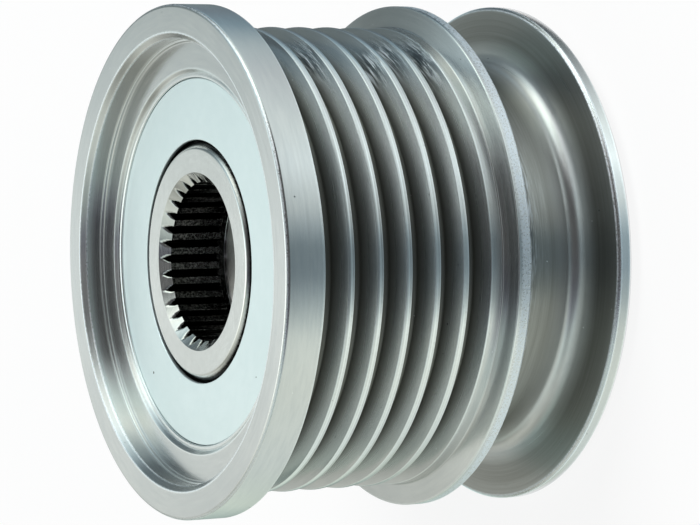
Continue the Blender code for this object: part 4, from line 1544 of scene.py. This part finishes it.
@dataclass(frozen=True)
class Card:
    """A card round the pulley that only the metal sees, painted in soft steps.

    Attributes:
        turns: Degrees round the studio, from the camera's side towards +X.
        tints: The card's tint at each turn.
        rings: How brightly each ring of the card glows at each turn, with white paper
            as 1, by its place: metres from the axis on the lying card, or degrees of
            rise on the dome.
    """

    turns: tuple[int, ...]
    tints: tuple[str, ...]
    rings: dict[float, tuple[float, ...]]

    def glow(self, place: np.ndarray, turn: np.ndarray) -> np.ndarray:
        """Take levels and tints in a straight line between turns and between rings.

        Args:
            place: Place of each point, in the unit of the rings.
            turn: Direction of each point in radians.

        Returns:
            The linear colour of each point.
        """
        place, turn = np.broadcast_arrays(place, np.degrees(turn))
        at = np.append(self.turns, 360 + self.turns[0])
        along = (turn - at[0]) % 360 + at[0]
        tint = np.array([linear(t)[:3] for t in (*self.tints, self.tints[0])])
        colour = np.stack([np.interp(along, at, tint[:, k]) for k in range(3)], axis=-1)
        spots = np.array(list(self.rings))
        level = np.zeros(place.shape)
        for peak, levels in zip(np.eye(spots.size), self.rings.values()):
            level += np.interp(place, spots, peak) * np.interp(along, at, (*levels, levels[0]))
        return colour * level[..., None]


# A glowing card round the pulley, painted as white paper with painted shade towards the camera and behind it.
LOW_CARD = Card(
    (-180, -140, -100, -60, -36, -22, -8, 6, 22, 42, 60, 90, 112, 130, 150),
    (
        "#E2FFFB", "#F2FFF1", "#F6FFF9", "#F8FFF5", "#F7FFF6", "#EFFFFE", "#DDF5FF", "#DEF6FF", "#F4FFFE",
        "#F4FFFF", "#F5FFFD", "#F6FEFF", "#EBFCFF", "#CCEEFF", "#DAF0FF",
    ),
    {
        0.036: (1.06, 0.69, 0.89, 0.92, 0.83, 0.58, 0.47, 0.52, 0.93, 1.40, 1.11, 0.52, 0.20, 0.05, 0.05),
        0.058: (0.10, 0.49, 0.70, 0.84, 0.98, 0.35, 0.19, 0.15, 0.29, 0.63, 0.89, 0.72, 0.77, 0.34, 0.12),
        0.100: (0.26, 0.86, 0.83, 0.91, 0.95, 0.65, 0.34, 0.34, 0.84, 1.25, 0.99, 0.66, 0.56, 0.37, 0.27),
        0.200: (0.24, 0.81, 0.94, 0.71, 0.57, 0.05, 0.05, 0.05, 0.05, 0.05, 0.74, 1.33, 1.16, 0.78, 0.09),
    },
)
# Above it a dark gap faces the camera, a warm window of light stands on the +X side
# and the ceiling glows at the back.
SKY_CARD = Card(
    (-180, -160, -130, -90, -50, -25, 0, 25, 50, 76, 96, 116, 136, 160),
    (
        "#F9FFFC", "#FBFFF8", "#FCFFF2", "#F9FFF6", "#EFFFF9", "#E8E8FF", "#FFFFFF", "#FFFFFF", "#FFFFFF",
        "#EAFFF5", "#FAFFF2", "#EDFFFF", "#D8F4FF", "#EFFFFE",
    ),
    {
        6.0: (0.61, 0.33, 0.26, 0.79, 1.05, 0.18, 0.08, 0.08, 0.08, 0.43, 0.56, 0.08, 0.08, 0.22),
        20.0: (1.18, 0.61, 0.82, 0.65, 0.33, 0.08, 0.08, 0.08, 0.08, 1.39, 1.54, 0.30, 0.19, 0.19),
        34.0: (0.73, 0.73, 0.23, 0.54, 0.50, 0.08, 0.08, 0.08, 0.08, 0.96, 1.61, 1.00, 0.15, 0.30),
        50.0: (2.00, 1.13, 0.61, 0.81, 1.04, 0.08, 0.08, 0.08, 0.08, 0.53, 0.88, 1.00, 0.60, 0.97),
        66.0: (1.92, 2.00, 1.25, 0.50, 0.32, 0.08, 0.08, 0.08, 0.08, 0.08, 0.48, 0.57, 0.73, 1.42),
        90.0: (0.55,) * 14,
    },
)


def bare_tree(owner: bpy.types.Material | bpy.types.World) -> Tree:
    """Turn on the nodes of a material or world and return its emptied tree."""
    owner.use_nodes = True
    owner.node_tree.nodes.clear()
    return owner.node_tree


@dataclass(frozen=True)
class Studio:
    """A pale floor, soft light, and cards that only the metal sees."""

    rim_radius: float = 0.0293
    card_inner: float = 0.0305
    card_outer: float = 0.44
    card_height: float = 0.0002
    card_rows: int = 40
    dome_radius: float = 0.45
    dome_rows: int = 46
    dome_top: float = 89.9
    columns: int = 360
    floor_size: float = 6.0
    floor_colour: str = "#F2F3F3"
    floor_lift: float = 0.85
    sky_low: str = "#C9CDCE"
    sky_high: str = "#F4F6F6"
    sky_strength: float = 0.80
    lamp_place: tuple[float, float, float] = (0.72, -0.1, 0.72)
    lamp_size: float = 0.5
    lamp_power: float = 6.0
    aim: tuple[float, float, float] = (0.0, 0.0, 0.02)
    repeats: int = 60

    def far_angle(self, radius: np.ndarray, turn: np.ndarray) -> np.ndarray:
        """Work out where the pulley's rim sends the camera's view to each spot of the floor.

        A rim of radius R whose normal stands at the angle a sends it towards 2a, and
        the line from there passes the spot (r, t) where r sin(2a - t) = R sin(a). The
        equation is solved by repeating 2a = t + asin(R sin(a) / r).

        Args:
            radius: Distance of each spot from the axis.
            turn: Its turn round the axis.

        Returns:
            The direction of the view in radians.
        """
        normal = turn / 2
        for _ in range(self.repeats):
            normal = (turn + np.arcsin(np.clip(self.rim_radius * np.sin(normal) / radius, -1, 1))) / 2
        return 2 * normal

    def reflector(self, name: str, points: np.ndarray, colours: np.ndarray) -> None:
        """Set up a glowing card, given as a closed grid of points, that only reflections see.

        Args:
            name: Name of the card.
            points: Its points in rows of places round the pulley.
            colours: The linear colour of each point.
        """
        mesh = bpy.data.meshes.new(name)
        mesh.from_pydata(points.reshape(-1, 3), [], grid_faces(*points.shape[:2], closed_rows=False))
        layer = mesh.attributes.new("tone", "FLOAT_COLOR", "POINT")
        opaque = np.column_stack((colours.reshape(-1, 3), np.ones(colours.size // 3)))
        layer.data.foreach_set("color", opaque.astype(np.float32).ravel())
        material = bpy.data.materials.new(name)
        tree = bare_tree(material)
        tone = add_node(tree, "Attribute", attribute_name="tone").outputs["Color"]
        glow = add_node(tree, "Emission", {"Color": tone, "Strength": 1.0}).outputs[0]
        add_node(tree, "OutputMaterial", {"Surface": glow})
        mesh.materials.append(material)
        card = link(name, mesh)
        card.visible_camera = card.visible_diffuse = card.visible_shadow = card.visible_transmission = False

    def cards(self) -> None:
        """Lay the low card, with radii that grow by the square of the row, and stand the dome over it.

        At the rise e the dome's points lie R cos e from the axis and R sin e high.
        """
        turn = np.linspace(-math.pi, math.pi, self.columns + 1)[:-1]
        angle = turn - math.pi / 2
        share = np.linspace(0.0, 1.0, self.card_rows)[:, None] ** 2
        radius = self.card_inner + (self.card_outer - self.card_inner) * share
        glow = LOW_CARD.glow(radius, self.far_angle(radius, turn))
        self.reflector("low_card", around(radius, angle, self.card_height), glow)
        rise = np.linspace(0.0, self.dome_top, self.dome_rows)[:, None]
        flat = self.dome_radius * np.cos(np.radians(rise))
        high = self.dome_radius * np.sin(np.radians(rise)) + self.card_height
        self.reflector("card_dome", around(flat, angle, high), SKY_CARD.glow(rise, turn))

    def floor(self) -> None:
        """Lay the pale floor. Camera, glossy and transmission rays see it lifted towards white."""
        half = self.floor_size / 2
        corners = [(-half, -half, 0), (half, -half, 0), (half, half, 0), (-half, half, 0)]
        mesh = bpy.data.meshes.new("studio_floor")
        mesh.from_pydata(corners, [], [(0, 1, 2, 3)])
        material = bpy.data.materials.new("matt_floor_paper")
        tree = bare_tree(material)
        rays = add_node(tree, "LightPath").outputs
        seen = sums(tree, "MAXIMUM", rays["Is Camera Ray"], rays["Is Glossy Ray"])
        seen = sums(tree, "MAXIMUM", seen, rays["Is Transmission Ray"])
        paper = add_node(tree, "BsdfDiffuse", {"Color": linear(self.floor_colour)}).outputs[0]
        glow = add_node(tree, "Emission", {"Color": (1, 1, 1, 1), "Strength": 1.0}).outputs[0]
        share = sums(tree, "MULTIPLY", seen, self.floor_lift)
        surface = add_node(tree, "MixShader", {0: share, 1: paper, 2: glow}).outputs[0]
        add_node(tree, "OutputMaterial", {"Surface": surface})
        mesh.materials.append(material)
        link("studio_floor", mesh)

    def world(self) -> None:
        """Fill the room with soft light that grows brighter towards the ceiling."""
        world = bpy.data.worlds.new("soft_room")
        bpy.context.scene.world = world
        tree = bare_tree(world)
        way = add_node(tree, "TexCoord").outputs["Generated"]
        rise = add_node(tree, "SeparateXYZ", {0: way}).outputs[2]
        inputs = {"Color": mix(tree, rise, self.sky_low, self.sky_high), "Strength": self.sky_strength}
        add_node(tree, "OutputWorld", {"Surface": add_node(tree, "Background", inputs).outputs[0]})

    def lamp(self) -> None:
        """Hang one square soft lamp that faces the pulley."""
        data = bpy.data.lights.new("ceiling_softbox", "AREA")
        data.size = self.lamp_size
        data.energy = self.lamp_power
        way = (Vector(self.aim) - Vector(self.lamp_place)).to_track_quat("-Z", "Y")
        link("ceiling_softbox", data).matrix_world = (
            Matrix.Translation(self.lamp_place) @ way.to_matrix().to_4x4()
        )

    def build(self) -> None:
        """Set the floor, the light and the cards."""
        self.floor()
        self.world()
        self.lamp()
        self.cards()


@dataclass(frozen=True)
class StudioCamera:
    """The camera of the photograph, turned on its side so that the axis lies level in the picture."""

    lens: float = 165.0
    sensor: float = 36.0
    distance: float = 0.36504
    elevation: float = math.radians(24.788)
    roll: float = math.radians(91.741)
    yaw: float = math.radians(-3.2047)
    clip: tuple[float, float] = (0.01, 20.0)

    def build(self) -> None:
        """Place the camera: it looks at the middle of the front face, is rolled, then turned aside."""
        away = Vector((0.0, -math.cos(self.elevation), math.sin(self.elevation)))
        forward = -away
        right = forward.cross(Vector((0, 0, 1))).normalized()
        up = right.cross(forward)
        roll = Matrix.Rotation(self.roll, 3, forward)
        right, up = roll @ right, roll @ up
        yaw = Matrix.Rotation(self.yaw, 3, up)
        right, forward = yaw @ right, yaw @ forward
        data = bpy.data.cameras.new("studio_camera")
        data.lens, data.sensor_width = self.lens, self.sensor
        data.clip_start, data.clip_end = self.clip
        camera = link("studio_camera", data)
        turn = Matrix((right, up, -forward)).transposed().to_4x4()
        spot = away * self.distance + Vector((0.0, 0.0, HUB_END * MM))
        camera.matrix_world = Matrix.Translation(spot) @ turn
        bpy.context.scene.camera = camera


def main() -> None:
    """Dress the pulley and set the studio."""
    logging.basicConfig(level=logging.INFO, format="%(message)s")
    bpy.context.scene.view_settings.view_transform = "Standard"
    StudioCamera().build()
    PulleyRing().build()
    EndCovers().build()
    Seals().build()
    SplinedHub().build()
    BearingShells().build()
    for side in Side:
        NeedleBearing(side).build()
    RollerClutch().build()
    Studio().build()


if __name__ == "__main__":
    main()
